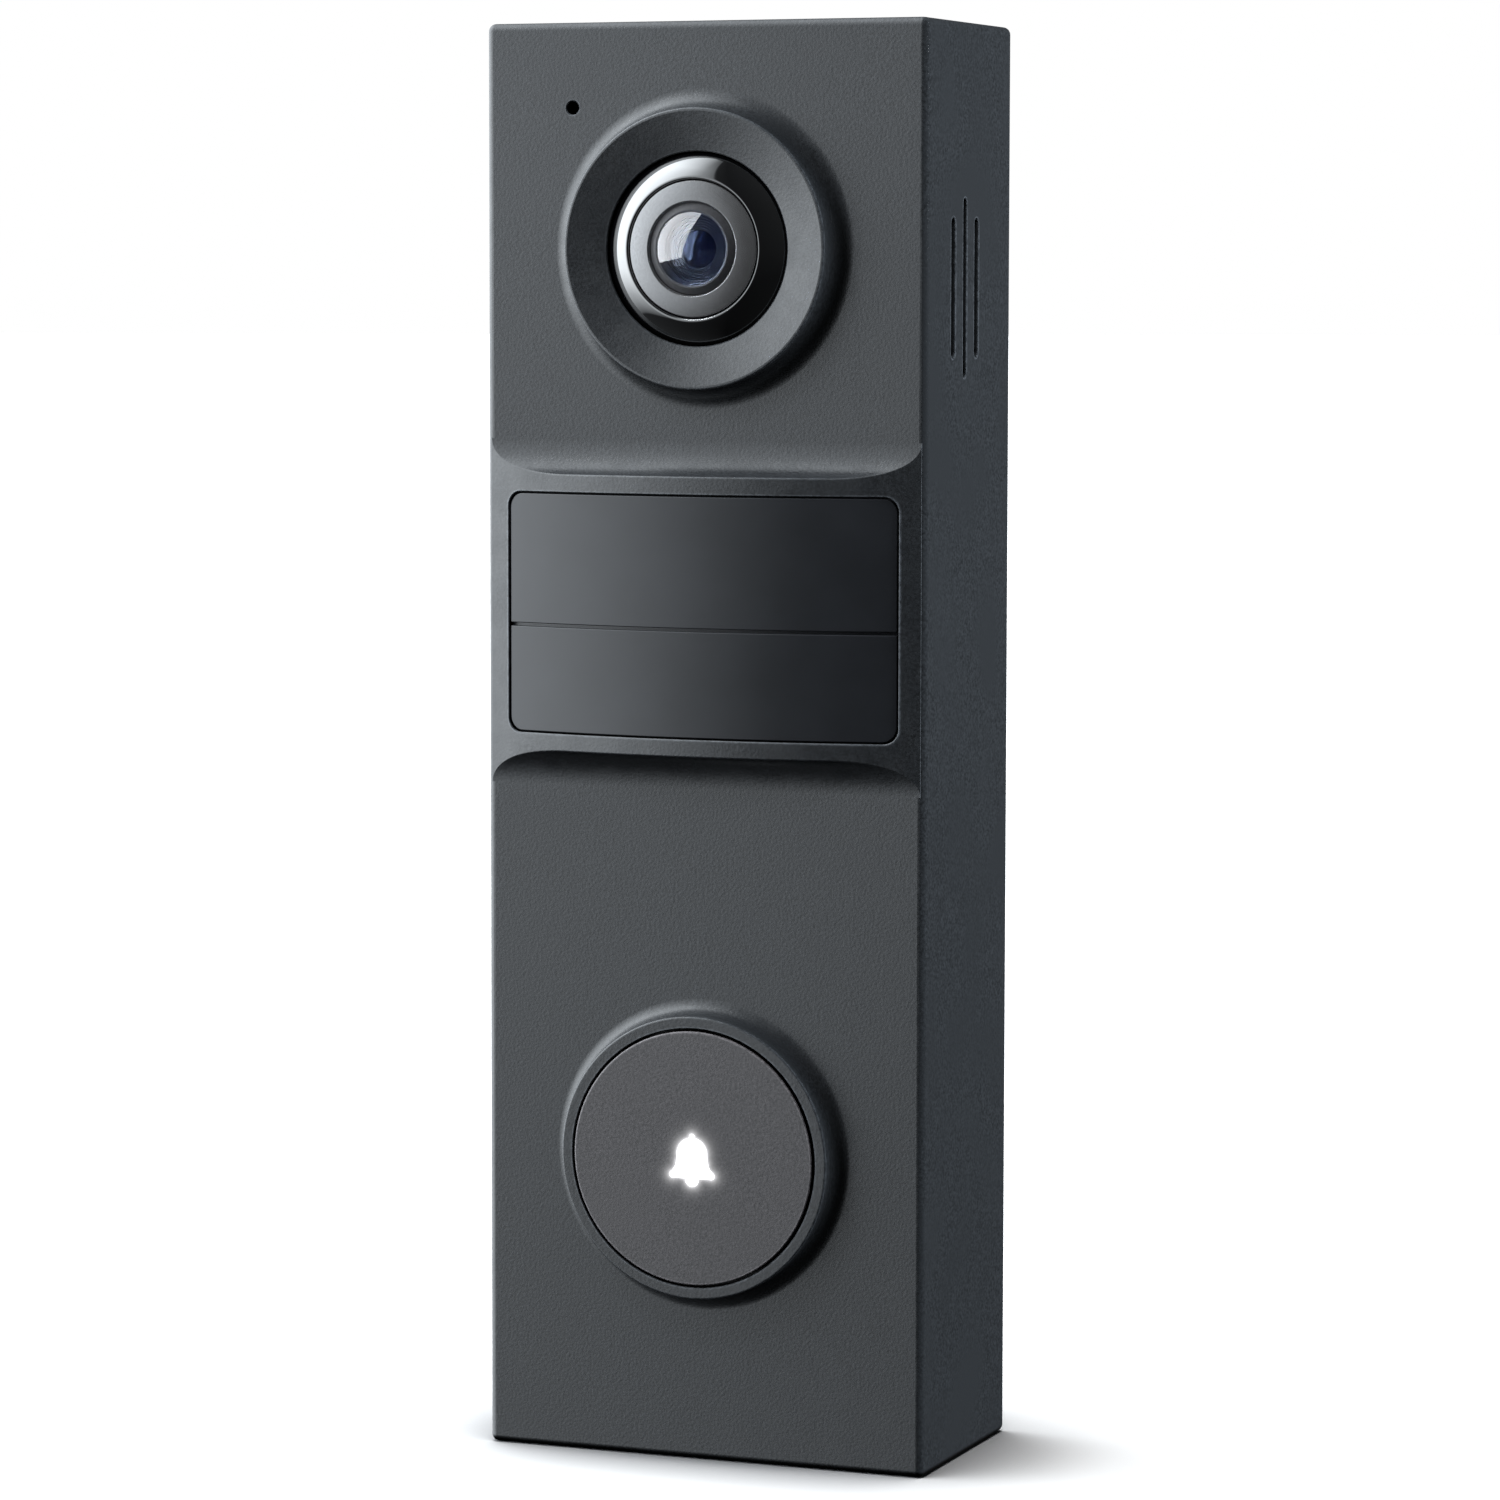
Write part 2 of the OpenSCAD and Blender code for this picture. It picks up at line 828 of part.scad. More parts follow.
module reset_button() {
    pin_r = 1.1;
    collar_y = 21;
    color([0.85, 0.85, 0.85]) placed() {
        rod_y(reset_x, port_z, pin_r, collar_y - 1, collar_y + 1.9);
        rod_y(reset_x, port_z, pin_r + 0.7, collar_y, collar_y + 0.6);
    }
}

module wifi_antenna() {
    color([0.8, 0.65, 0.3]) placed() {
        span([-4, 8, 140.8], [15, 14.6, 141.1]);
        span([-4, 14.6, 139], [-1, main_board_y, 141.1]);
    }
}

module bell_outline() {
    translate([0, 2.3])
        circle(r = 0.3, $fn = 32);
    translate([0, 0.5])
        circle(r = 1.7);
    polygon([[1.7, 0.5], [1.85, -0.5], [2.08, -1.05], [2.5, -1.5], [2.25, -2.1],
        [-2.25, -2.1], [-2.5, -1.5], [-2.08, -1.05], [-1.85, -0.5], [-1.7, 0.5]]);
    for (s = [-1, 1])
        translate([s * 2.25, -1.75])
            circle(r = 0.35, $fn = 32);
    translate([0, -2.2])
        circle(r = 0.75, $fn = 48);
}

module button_cap() {
    color(cap_grey) placed() {
        out_of_front(0, button_z)
            difference() {
                rotate_extrude()
                    polygon([[0, cap_face_h - cap_t], [12.2, cap_face_h - cap_t], [12.2, 0.9],
                        [cap_r, 0.9], [cap_r, cap_face_h - 0.12], [cap_r - 0.12, cap_face_h],
                        [0, cap_face_h]]);
                translate([0, 0, -cut])
                    linear_extrude(height = 3 * cap_face_h)
                        bell_outline();
            }
        rod_y(plunger_x, button_z + plunger_z, plunger_r, -cap_face_h + cap_t, plunger_y);
    }
}

module bell_icon() {
    color([1, 1, 1]) placed() out_of_front(0, button_z) {
        translate([0, 0, cap_face_h - cap_t])
            linear_extrude(height = cap_t)
                bell_outline();
        translate([0, -0.3, 0.4])
            cylinder(r = 3.9, h = cap_face_h - cap_t - 0.4);
    }
}

module button_seal() {
    color(rubber_black) placed()
        difference() {
            rod_y(0, button_z, 11.9, 0, button_floor_y);
            rod_y(0, button_z, light_hole_r + 0.2, -cut, cut);
            rod_y(plunger_x, button_z + plunger_z, plunger_hole_r + 0.2, -cut, cut);
        }
}

module dome_switch() {
    color(metal) placed() {
        span([plunger_x - 1.75, 1.3, button_z + plunger_z - 1.75],
            [plunger_x + 1.75, button_board_y, button_z + plunger_z + 1.75]);
        rod_y(plunger_x, button_z + plunger_z, 1.2, plunger_y + button_travel + 0.05, 1.4);
    }
}

module button_board() {
    color(board_green) placed()
        rod_y(0, button_z, 12, button_board_y, button_board_y + button_board_t);
}

module icon_led() {
    color([0.95, 0.95, 0.85]) placed()
        round_plate(0, button_z, 2.8, 3.5, 0.2, 1.2, button_board_y);
}

module battery_cell(s) {
    color([0.2, 0.45, 0.55]) placed()
        translate([s * cell_x, cell_y, cell_z]) {
            cylinder(r = cell_r, h = cell_l - 0.8);
            translate([0, 0, cell_l - 0.9])
                cylinder(r = 3, h = 0.9);
        }
}

module battery_cell_left() battery_cell(-1);

module battery_cell_right() battery_cell(1);

module battery_tray() {
    tray_half = 20;
    tray_back = 18.4;
    cup_top = 19;
    tray_low = cell_z + 0.5;
    color([0.1, 0.1, 0.1]) placed()
        difference() {
            union() {
                span([-tray_half, cell_y + 0.4, tray_low],
                    [tray_half, tray_back, cell_z + cell_l - 1.5]);
                span([-tray_half, wall + 0.1, tray_low], [tray_half, tray_back, cup_top]);
            }
            for (s = [-1, 1])
                translate([s * cell_x, cell_y, 0])
                    cylinder(r = cell_r + 0.1, h = body_h);
        }
}

module battery_straps() {
    color(metal) placed()
        for (z = [cell_z - 0.2, cell_z + cell_l])
            span([-cell_x - 3, cell_y - 3, z], [cell_x + 3, cell_y + 3, z + 0.2]);
}

module battery_board() {
    color(board_green) placed()
        span([-4, 20.4, 30], [4, 21.2, 55]);
}

module battery_connector() {
    color([0.9, 0.88, 0.8]) placed()
        span([-4, main_board_back, 76], [4, 20.2, 82]);
}

module sensor_flex() {
    color([0.7, 0.4, 0.1]) placed()
        ribbon(0, 8, [[5.6, 100], [5.8, 100], [5.8, 106.8], [15, 106.8], [15, 112], [14.8, 112],
            [14.8, 107], [5.6, 107]]);
}

module camera_flex() {
    color([0.7, 0.4, 0.1]) placed()
        ribbon(0, 10, [[12, 119], [12, 114], [15, 114], [15, 118], [14.8, 118], [14.8, 114.2],
            [12.2, 114.2], [12.2, 119]]);
}

module button_flex() {
    color([0.7, 0.4, 0.1]) placed()
        ribbon(0, 6, [[2.6, 40], [2.8, 40], [2.8, 74.7], [15, 74.7], [15, 79], [14.8, 79],
            [14.8, 74.9], [2.6, 74.9]]);
}

// A wire with round bends through a list of points
module wire(points, r) {
    for (i = [1:len(points) - 1]) {
        run = points[i] - points[i - 1];
        translate(points[i - 1])
            rotate([0, acos(run[2] / norm(run)), atan2(run[1], run[0])])
                cylinder(r = r, h = norm(run), $fn = 24);
        if (i < len(points) - 1)
            translate(points[i])
                sphere(r = r, $fn = 24);
    }
}

module battery_leads() {
    color([0.75, 0.1, 0.1]) placed()
        for (x = [-1.6, 1.6])
            wire([[x, 20.8, 55], [x, 20.8, 73.2], [x, 18.6, 75], [x, 18.6, 76]], 0.5);
}

module back_cover() {
    color(shell_grey) placed()
        difference() {
            span([-cover_half, cover_y, cover_low], [cover_half, cover_back, cover_top]);
            for (p = cover_posts) {
                rod_y(p[0], p[1], cover_screw_r + 0.15, cover_y - cut, cover_back + cut);
                rod_y(p[0], p[1], screw_seat_r, cover_back - screw_seat_t, cover_back + cut);
            }
            span([-flap_w / 2 - 0.2, cover_back - flap_t - 0.1, flap_low - 1],
                [flap_w / 2 + 0.2, cover_back + cut, flap_top + 0.2]);
            round_plate(usb_x, port_z, usb_w + 0.26, usb_h + 0.24, 1.3, cover_y - cut, cover_back);
            rod_y(reset_x, port_z, 1.2, cover_y - cut, cover_back);
            span([-terminal_half - 0.2, cover_y - cut, terminal_z - terminal_rise - 0.2],
                [terminal_half + 0.2, cover_back + cut, terminal_z + terminal_rise + 0.2]);
            span([-foot_half - 0.3, foot_y - 0.1, 0],
                [foot_half + 0.3, cover_back + cut, foot_top + 0.3]);
        }
}

module housing_seal() {
    color(rubber_black) placed()
        difference() {
            span([-cover_half, ledge_y, cover_low], [cover_half, cover_y, cover_top]);
            span([-cover_half + 1.1, ledge_y - cut, cover_low + 1.1],
                [cover_half - 1.1, cover_y + cut, cover_top - 1.1]);
        }
}

module cover_screws() {
    color(metal) placed()
        for (p = cover_posts)
            screw_y(p[0], p[1], cover_screw_r, cover_screw_l, cover_back - screw_seat_t,
                screw_seat_r - 0.2, 0.85);
}

module board_screws() {
    color(metal) placed() {
        for (p = camera_posts)
            screw_y(p[0], camera_z + p[1], board_screw_r, board_screw_l,
                camera_board_y + camera_board_t, board_head_r, board_head_h);
        for (p = board_posts)
            screw_y(p[0], p[1], board_screw_r, board_screw_l, main_board_back, board_head_r,
                board_head_h);
        for (p = sensor_posts)
            screw_y(p[0], p[1], board_screw_r, board_screw_l, sensor_board_y + sensor_board_t,
                board_head_r, board_head_h);
    }
}

module terminal_block() {
    color([0.09, 0.09, 0.1]) placed()
        difference() {
            union() {
                span([-10, main_board_back + 0.1, terminal_z - 5.2], [10, 21.7, terminal_z + 5.2]);
                span([-terminal_half, 21.6, terminal_z - terminal_rise],
                    [terminal_half, terminal_face, terminal_z + terminal_rise]);
            }
            for (s = [-1, 1])
                rod_y(s * terminal_x, terminal_z, terminal_screw_r + sink, 17.8,
                    terminal_face + cut);
        }
}

module terminal_screws() {
    color([0.8, 0.7, 0.4]) placed()
        for (s = [-1, 1])
            screw_y(s * terminal_x, terminal_z, terminal_screw_r, 4.4, terminal_face, 2.7, 1.4);
}

module port_cover() {
    color(rubber_black) placed()
        difference() {
            union() {
                span([-flap_w / 2, cover_back - flap_t, flap_low],
                    [flap_w / 2, cover_back, flap_top]);
                translate([-flap_w / 2, cover_back - flap_t / 2, flap_low])
                    rotate([0, 90, 0])
                        cylinder(r = flap_t / 2, h = flap_w);
            }
            span([-3, cover_back - 0.35, flap_top - 1.4], [3, cover_back + cut, flap_top + cut]);
        }
}

module bracket_outline() {
    for (s = [-1, 1])
        span([s > 0 ? border_in - cut : -bracket_half, bracket_y, bracket_low],
            [s > 0 ? bracket_half : -border_in + cut, bracket_y + border_t, bracket_top]);
    span([-border_in, bracket_y, bracket_low], [border_in, body_d, bracket_top]);
    span([-foot_half, foot_y, bracket_low], [foot_half, body_d, foot_top]);
}

module wall_bracket() {
    color([0.12, 0.125, 0.135]) placed()
        difference() {
            bracket_outline();
            for (z = tab_zs)
                for (s = [-1, 1])
                    span([s > 0 ? border_in : -bracket_half - cut, bracket_y - cut,
                            z + bracket_travel - 0.4],
                        [s > 0 ? bracket_half + cut : -border_in, body_d + cut,
                            z + bracket_travel + tab_l + 0.4]);
            for (w = [port_window, wire_window])
                round_plate(0, (w[1] + w[2]) / 2, 2 * w[0], w[2] - w[1], 2, bracket_y - cut,
                    body_d + cut);
            for (s = [-1, 1]) {
                rod_y(0, wall_screw_z + s * wall_screw_spacing / 2, wall_screw_r,
                    bracket_y - cut, body_d + cut);
                translate([0, bracket_y, wall_screw_z + s * wall_screw_spacing / 2])
                    rotate([-90, 0, 0])
                        cylinder(r1 = 4.1, r2 = wall_screw_r, h = 1.1);
            }
            translate([0, security_y, bracket_low - cut])
                cylinder(r = security_r + screw_gap,
                    h = security_l + bracket_travel - bracket_low + 2 * cut);
        }
}

module security_screw() {
    color(metal) placed()
        translate([0, security_y, 0]) {
            difference() {
                translate([0, 0, 0.4])
                    cylinder(r = 1.6, h = 1.1);
                cylinder(r = 0.8, h = 1, $fn = 6);
            }
            translate([0, 0, 1.4])
                cylinder(r = security_r, h = security_l - 1.4);
        }
}

front_housing();
lens_surround();
lens_bezel();
front_lens();
inner_lenses();
lens_barrel();
lens_holder();
ir_cut_filter();
ir_cut_coil();
image_sensor();
camera_board();
lens_seal();
pir_window();
ir_window();
window_gasket();
pir_sensor();
ir_leds();
light_sensor();
sensor_board();
mic_mesh();
mic_boot();
microphone();
speaker_frame();
speaker_cone();
speaker_magnet();
speaker_gasket();
speaker_mesh();
main_board();
shield_can();
board_chips();
usb_port();
memory_card_slot();
reset_switch();
reset_button();
wifi_antenna();
button_cap();
bell_icon();
button_seal();
dome_switch();
button_board();
icon_led();
battery_cell_left();
battery_cell_right();
battery_tray();
battery_straps();
battery_board();
battery_connector();
sensor_flex();
camera_flex();
button_flex();
battery_leads();
back_cover();
housing_seal();
cover_screws();
board_screws();
terminal_block();
terminal_screws();
port_cover();
wall_bracket();
security_screw();
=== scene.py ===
"""The looks of an upright video doorbell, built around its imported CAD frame."""

import json
import math

import bmesh
import bpy
from mathutils import Matrix, Vector


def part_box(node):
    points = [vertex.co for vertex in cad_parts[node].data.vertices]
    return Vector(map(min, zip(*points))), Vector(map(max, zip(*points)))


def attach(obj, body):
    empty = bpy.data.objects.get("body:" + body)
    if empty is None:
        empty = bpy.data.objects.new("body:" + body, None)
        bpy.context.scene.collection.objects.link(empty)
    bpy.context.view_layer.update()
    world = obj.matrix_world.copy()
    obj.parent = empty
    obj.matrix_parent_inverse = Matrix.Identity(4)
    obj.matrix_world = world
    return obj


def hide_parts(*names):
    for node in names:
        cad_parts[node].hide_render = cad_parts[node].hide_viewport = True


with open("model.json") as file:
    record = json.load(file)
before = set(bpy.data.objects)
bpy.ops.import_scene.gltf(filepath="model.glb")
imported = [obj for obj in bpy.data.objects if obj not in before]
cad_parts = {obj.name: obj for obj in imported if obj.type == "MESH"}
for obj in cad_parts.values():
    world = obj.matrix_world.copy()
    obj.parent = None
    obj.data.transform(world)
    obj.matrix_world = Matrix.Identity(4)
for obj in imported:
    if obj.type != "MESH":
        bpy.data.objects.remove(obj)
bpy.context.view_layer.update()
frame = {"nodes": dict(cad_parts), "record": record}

# Sizes are in millimetres. x runs to the right, y to the back from the flat front, z up.
MM = 0.001
BODY_W, BODY_H, BODY_D = 49.0, 150.0, 26.0
WALL = 2.0
EDGE_R = 0.8
FRONT_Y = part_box("front_housing")[1].y / MM - BODY_D

CAMERA_Z, CAMERA_BORE_R = 126.6, 10.0
BUTTON_Z, BUTTON_BORE_R = 32.4, 13.6
BUTTON_COLLAR_H = 2.84
PLUNGER_Z = BUTTON_Z - 8.5
MIC_X, MIC_Z, MIC_R = -14.7, 141.2, 0.7
BAND_LOW, BAND_TOP = 74.3, 103.3
BAND_RISE = 3.6
BAND_HALF = 24.0
BAND_R = (BAND_HALF ** 2 + BAND_RISE ** 2) / (2 * BAND_RISE)
WINDOW_HALF, WINDOW_LOW, WINDOW_TOP, WINDOW_SPLIT = 21.6, 76.3, 101.2, 87.45
WINDOW_CORNER_R, WINDOW_GAP = 1.5, 0.17
SECURITY_Y = 23.8
SLOT_Z = 122.65
SLOTS = ((7.9, 1.3, 14.45), (11.45, 1.1, 18.5), (15.0, 1.3, 14.45))   # y, width, length


def band_height(x, depth=0.0):
    """How far the band's curved face, or a face that far below it, stands out of the front."""
    return math.sqrt((BAND_R - depth) ** 2 - x * x) - (BAND_R - BAND_RISE)


# ---------------- mesh helpers


def make_object(bm):
    """An object, named later, from a mesh in millimetres with y = 0 on the flat front."""
    bmesh.ops.remove_doubles(bm, verts=bm.verts, dist=1e-5)
    bmesh.ops.recalc_face_normals(bm, faces=bm.faces)
    mesh = bpy.data.meshes.new("solid")
    bm.to_mesh(mesh)
    bm.free()
    obj = bpy.data.objects.new("solid", mesh)
    bpy.context.scene.collection.objects.link(obj)
    return obj


def combine(target, operation, tool):
    modifier = target.modifiers.new("combine", "BOOLEAN")
    modifier.operation = operation
    modifier.solver = "MANIFOLD"
    modifier.object = tool
    bpy.context.view_layer.update()
    result = bpy.data.meshes.new_from_object(
        target.evaluated_get(bpy.context.evaluated_depsgraph_get()))
    target.modifiers.clear()
    target.data = result
    bpy.data.objects.remove(tool)
    return target


def join(target, tool):
    return combine(target, "UNION", tool)


def cut(target, tool):
    return combine(target, "DIFFERENCE", tool)


def finish_mesh(obj, angle=30.0):
    """Moves a finished solid to its place and gives it smooth faces with sharp creases."""
    mesh = obj.data
    bm = bmesh.new()
    bm.from_mesh(mesh)
    bmesh.ops.triangulate(bm, faces=[face for face in bm.faces if len(face.verts) > 4])
    bmesh.ops.remove_doubles(bm, verts=bm.verts, dist=2e-4)
    bmesh.ops.dissolve_degenerate(bm, edges=bm.edges, dist=1e-4)
    for face in bm.faces:
        face.smooth = True
    limit = math.radians(angle)
    for edge in bm.edges:
        edge.smooth = len(edge.link_faces) == 2 and edge.calc_face_angle(0.0) < limit
    bm.to_mesh(mesh)
    bm.free()
    mesh.transform(Matrix.Translation((0, FRONT_Y, 0)))
    mesh.transform(Matrix.Scale(MM, 4))
    modifier = obj.modifiers.new("flat_faces", "WEIGHTED_NORMAL")
    modifier.keep_sharp = True
    modifier.weight = 80
    return obj


def rounded_corners(points, steps=5, closed=True):
    """An outline with each corner (a, b, radius) turned into a round stretch."""
    outline = []
    count = len(points)
    for i, (a, b, radius) in enumerate(points):
        corner = Vector((a, b))
        if radius <= 0 or (not closed and i in (0, count - 1)):
            outline.append(tuple(corner))
            continue
        before = Vector(points[i - 1][:2]) - corner
        after = Vector(points[(i + 1) % count][:2]) - corner
        before.normalize()
        after.normalize()
        half = before.angle(after) / 2
        reach = radius / math.tan(half)
        centre = corner + (before + after).normalized() * radius / math.sin(half)
        first, last = corner + before * reach, corner + after * reach
        start = math.atan2(first.y - centre.y, first.x - centre.x)
        sweep = math.atan2(last.y - centre.y, last.x - centre.x) - start
        sweep = (sweep + math.pi) % (2 * math.pi) - math.pi
        for k in range(steps + 1):
            turn = start + sweep * k / steps
            outline.append((centre.x + radius * math.cos(turn),
                            centre.y + radius * math.sin(turn)))
    return outline


def arc(centre_a, centre_b, radius, start, end, steps):
    """Points along an arc, with its angles in degrees."""
    return [(centre_a + radius * math.cos(math.radians(start + (end - start) * k / steps)),
             centre_b + radius * math.sin(math.radians(start + (end - start) * k / steps)))
            for k in range(steps + 1)]


def lathe(bm, profile, x, z, segments):
    """Adds a turned solid whose axis points out of the front: profile holds (radius, height).

    The profile is a closed loop, or runs from the axis to the axis."""
    rings = []
    for radius, height in profile:
        if radius < 1e-6:
            rings.append([bm.verts.new((x, -height, z))])
            continue
        rings.append([
            bm.verts.new((x + radius * math.cos(2 * math.pi * k / segments), -height,
                          z + radius * math.sin(2 * math.pi * k / segments)))
            for k in range(segments)])
    closed = len(rings[0]) > 1
    pairs = list(zip(rings, rings[1:] + rings[:1])) if closed else list(zip(rings, rings[1:]))
    for low, high in pairs:
        for k in range(segments):
            n = (k + 1) % segments
            corners = [low[k % len(low)], low[n % len(low)],
                       high[n % len(high)], high[k % len(high)]]
            face = list(dict.fromkeys(corners))
            if len(face) > 2:
                bm.faces.new(face)


def turned(profile, x, z, segments=144):
    bm = bmesh.new()
    lathe(bm, profile, x, z, segments)
    return make_object(bm)


def loft(bm, rings):
    """Adds a closed solid through rings of points, each ring with the same count."""
    rows = [[bm.verts.new(p) for p in ring] for ring in rings]
    for low, high in zip(rows, rows[1:]):
        for k in range(len(low)):
            n = (k + 1) % len(low)
            bm.faces.new((low[k], low[n], high[n], high[k]))
    for row in (rows[0], rows[-1]):
        bm.faces.new(row)


def box_solid(bm, low, high, bevel=0.0, steps=3):
    """Adds a box between two corners, with all its edges rounded."""
    made = bmesh.ops.create_cube(bm, size=1.0)["verts"]
    size = Vector(high) - Vector(low)
    middle = (Vector(high) + Vector(low)) / 2
    for v in made:
        v.co = Vector((v.co.x * size.x, v.co.y * size.y, v.co.z * size.z)) + middle
    if bevel > 0:
        edges = list({e for v in made for e in v.link_edges})
        bmesh.ops.bevel(bm, geom=edges, offset=bevel, segments=steps, profile=0.5,
                        affect="EDGES")


def box(low, high, bevel=0.0, steps=3):
    """An object that is a box between two corners, with all its edges rounded."""
    bm = bmesh.new()
    box_solid(bm, low, high, bevel, steps)
    return make_object(bm)


def rod(bm, x, z, radius, y0, y1, segments=48):
    lathe(bm, [(0, -y0), (radius, -y0), (radius, -y1), (0, -y1)], x, z, segments)


def round_rect(half_w, low, high, radius, steps=6):
    """Outline (x, z) of a rounded rectangle."""
    return rounded_corners([(-half_w, low, radius), (half_w, low, radius),
                            (half_w, high, radius), (-half_w, high, radius)], steps)


def bent_slab(bm, layers):
    """Adds a rounded slab bent to the band, from (level, half width, low, high, corners)."""
    columns = 72
    arcs = 8
    rows = []
    for level, half, low, high, corner_low, corner_high in layers:
        turns = [math.pi / 2 * k / arcs for k in range(arcs)]
        widest = max(corner_low, corner_high)
        edge = [half - widest * (1 - math.cos(a)) for a in turns]
        middle = [(half - widest) * (1 - 2 * k / columns) for k in range(columns + 1)]
        xs = edge + middle + [-x for x in edge[::-1]]

        def corner(x, radius):
            inside = abs(x) - (half - radius)
            return radius - math.sqrt(max(0.0, radius ** 2 - inside ** 2)) if inside > 0 else 0.0

        rows.append(([bm.verts.new((x, -band_height(x, level), low + corner(x, corner_low)))
                      for x in xs],
                     [bm.verts.new((x, -band_height(x, level), high - corner(x, corner_high)))
                      for x in xs]))
    count = len(rows[0][0])
    for low_row, high_row in (rows[0], rows[-1]):
        for k in range(count - 1):
            bm.faces.new((low_row[k], low_row[k + 1], high_row[k + 1], high_row[k]))
    for (low_a, high_a), (low_b, high_b) in zip(rows, rows[1:]):
        for a, b in ((low_a, low_b), (high_a, high_b)):
            for k in range(count - 1):
                bm.faces.new((a[k], a[k + 1], b[k + 1], b[k]))
        for end in (0, -1):
            bm.faces.new((low_a[end], high_a[end], high_b[end], low_b[end]))


# ---------------- the housing


def collar_profile(radius, height, fillet, face_h, face_r=6.0):
    """A collar's section: hollow rounding at its foot, crisp rim, and its face down to face_r."""
    foot = arc(radius + fillet, fillet, fillet, 270, 180, 14)
    rim = rounded_corners([(radius, fillet, 0), (radius, height, 0.2),
                           (radius - 0.36, height, 0.1), (face_r, face_h, 0)], 4, False)
    return [(face_r, -1.0), (radius + fillet, -1.0)] + foot[:-1] + rim


def band_section(x):
    """Half of the band's outline at x: (distance from the band's rim line, height).

    A hollow quarter ellipse rises to the curved face, and a small rounding joins the two."""
    reach, rise, rim_r, steps, rim_steps = 3.6, 2.2, 0.22, 14, 5
    height = max(band_height(x), 0.004)
    rim_r = min(rim_r, 0.3 * height)
    end = math.acos(max(0.0, 1 - min(height, rise) / rise))
    slope = Vector((reach * math.cos(end), rise * math.sin(end))).normalized()
    setback = rim_r * math.tan(math.acos(min(1.0, slope.x)) / 2)
    low = height - setback * slope.y
    tip = Vector((reach * (math.sin(end) - 1), height))
    if low >= rise:
        start, stop = Vector((0.0, low)), math.pi / 2
    else:
        stop = math.acos(1 - low / rise)
        start = Vector((reach * (math.sin(stop) - 1), low))
        stop *= 0.94
    turns = [stop * k / steps for k in range(steps + 1)]
    points = [(reach * (math.sin(a) - 1), rise * (1 - math.cos(a))) for a in turns]
    last = tip + Vector((setback, 0))
    for k in range(rim_steps + 1):
        s = k / rim_steps
        points.append(tuple(start * (1 - s) ** 2 + tip * 2 * s * (1 - s) + last * s * s))
    return points


def band_solid():
    """The raised band: a curved face between two hollow roundings, widening out at its sides."""
    bm = bmesh.new()
    columns, rows = 140, []
    for i in range(columns + 1):
        x = BAND_HALF * math.sin(math.pi * (i / columns - 0.5))
        section = band_section(x)
        upper = [(BAND_TOP - d, -h) for d, h in section]
        lower = [(BAND_LOW + d, -h) for d, h in section]
        outline = [(upper[0][0], 1.0)] + upper + lower[::-1] + [(lower[0][0], 1.0)]
        rows.append([(x, y, z) for z, y in outline])
    loft(bm, rows)
    return make_object(bm)


def window_cutter():
    """The window's recess: it follows the curved face and has a fine chamfer at its mouth."""
    bm = bmesh.new()
    depth, chamfer, above = 1.65, 0.1, 0.5
    layers = []
    for level, spread in ((depth, 0), (chamfer, 0), (-above, chamfer + above)):
        wider, corner = WINDOW_GAP + spread, WINDOW_CORNER_R + spread
        layers.append((level, WINDOW_HALF + wider, WINDOW_LOW - wider, WINDOW_TOP + wider, corner,
                       corner))
    bent_slab(bm, layers)
    return make_object(bm)


def side_slot_cutter():
    """The three speaker slots, each with a fine chamfer where it meets the side."""
    bm = bmesh.new()
    for y, width, length in SLOTS:
        rings = []
        for x, spread in ((BODY_W / 2 - WALL - 1, 0), (BODY_W / 2 - 0.08, 0),
                          (BODY_W / 2 + 0.5, 0.58)):
            outline = round_rect(width / 2 + spread, SLOT_Z - length / 2 - spread,
                                 SLOT_Z + length / 2 + spread, width / 2 + spread - 1e-3, 8)
            rings.append([(x, y + a, z) for a, z in outline])
        loft(bm, rings)
    return make_object(bm)


def bore_cutter(x, z, radius, deep, mouth, chamfer):
    """A bore to height -deep whose mouth, at height mouth, is chamfered."""
    return turned([(0, -deep), (radius, -deep), (radius, mouth - chamfer),
                   (radius + chamfer + 1, mouth + 1), (0, mouth + 1)], x, z)


CAMERA_POSTS = [(x, CAMERA_Z + z) for x in (-12, 12) for z in (-8.9, 8.9)]
BOARD_POSTS = [(x, z) for x in (-18.8, 18.8) for z in (76.5, 138)]
SENSOR_POSTS = [(-16.5, 103.3), (16.5, 103.3)]
COVER_POSTS = [(x, z) for x in (-19.6, 19.6) for z in (4.8, 108.5, 145.2)]
LEDGE_Y = 21.4
POST_GROUPS = (   # places, back end, radius and front end of the screw hole
    (CAMERA_POSTS, 11.0, 1.06, 5.0), (BOARD_POSTS, 15.0, 1.06, 9.0),
    (SENSOR_POSTS, 4.6, 1.06, 0.5), (COVER_POSTS, LEDGE_Y, 1.16, 14.0))
POSTS = [(place, *rest) for places, *rest in POST_GROUPS for place in places]


def ledge(inner):
    """The frame inside the walls that the back cover rests on."""
    sunk, width = 0.5, 1.3
    rim = box((-inner - sunk, LEDGE_Y - 2, WALL - sunk),
              (inner + sunk, LEDGE_Y, BODY_H - WALL + sunk))
    hole = box((-inner + width, LEDGE_Y - 3, WALL + width),
               (inner - width, LEDGE_Y + 1, BODY_H - WALL - width))
    return cut(rim, hole)


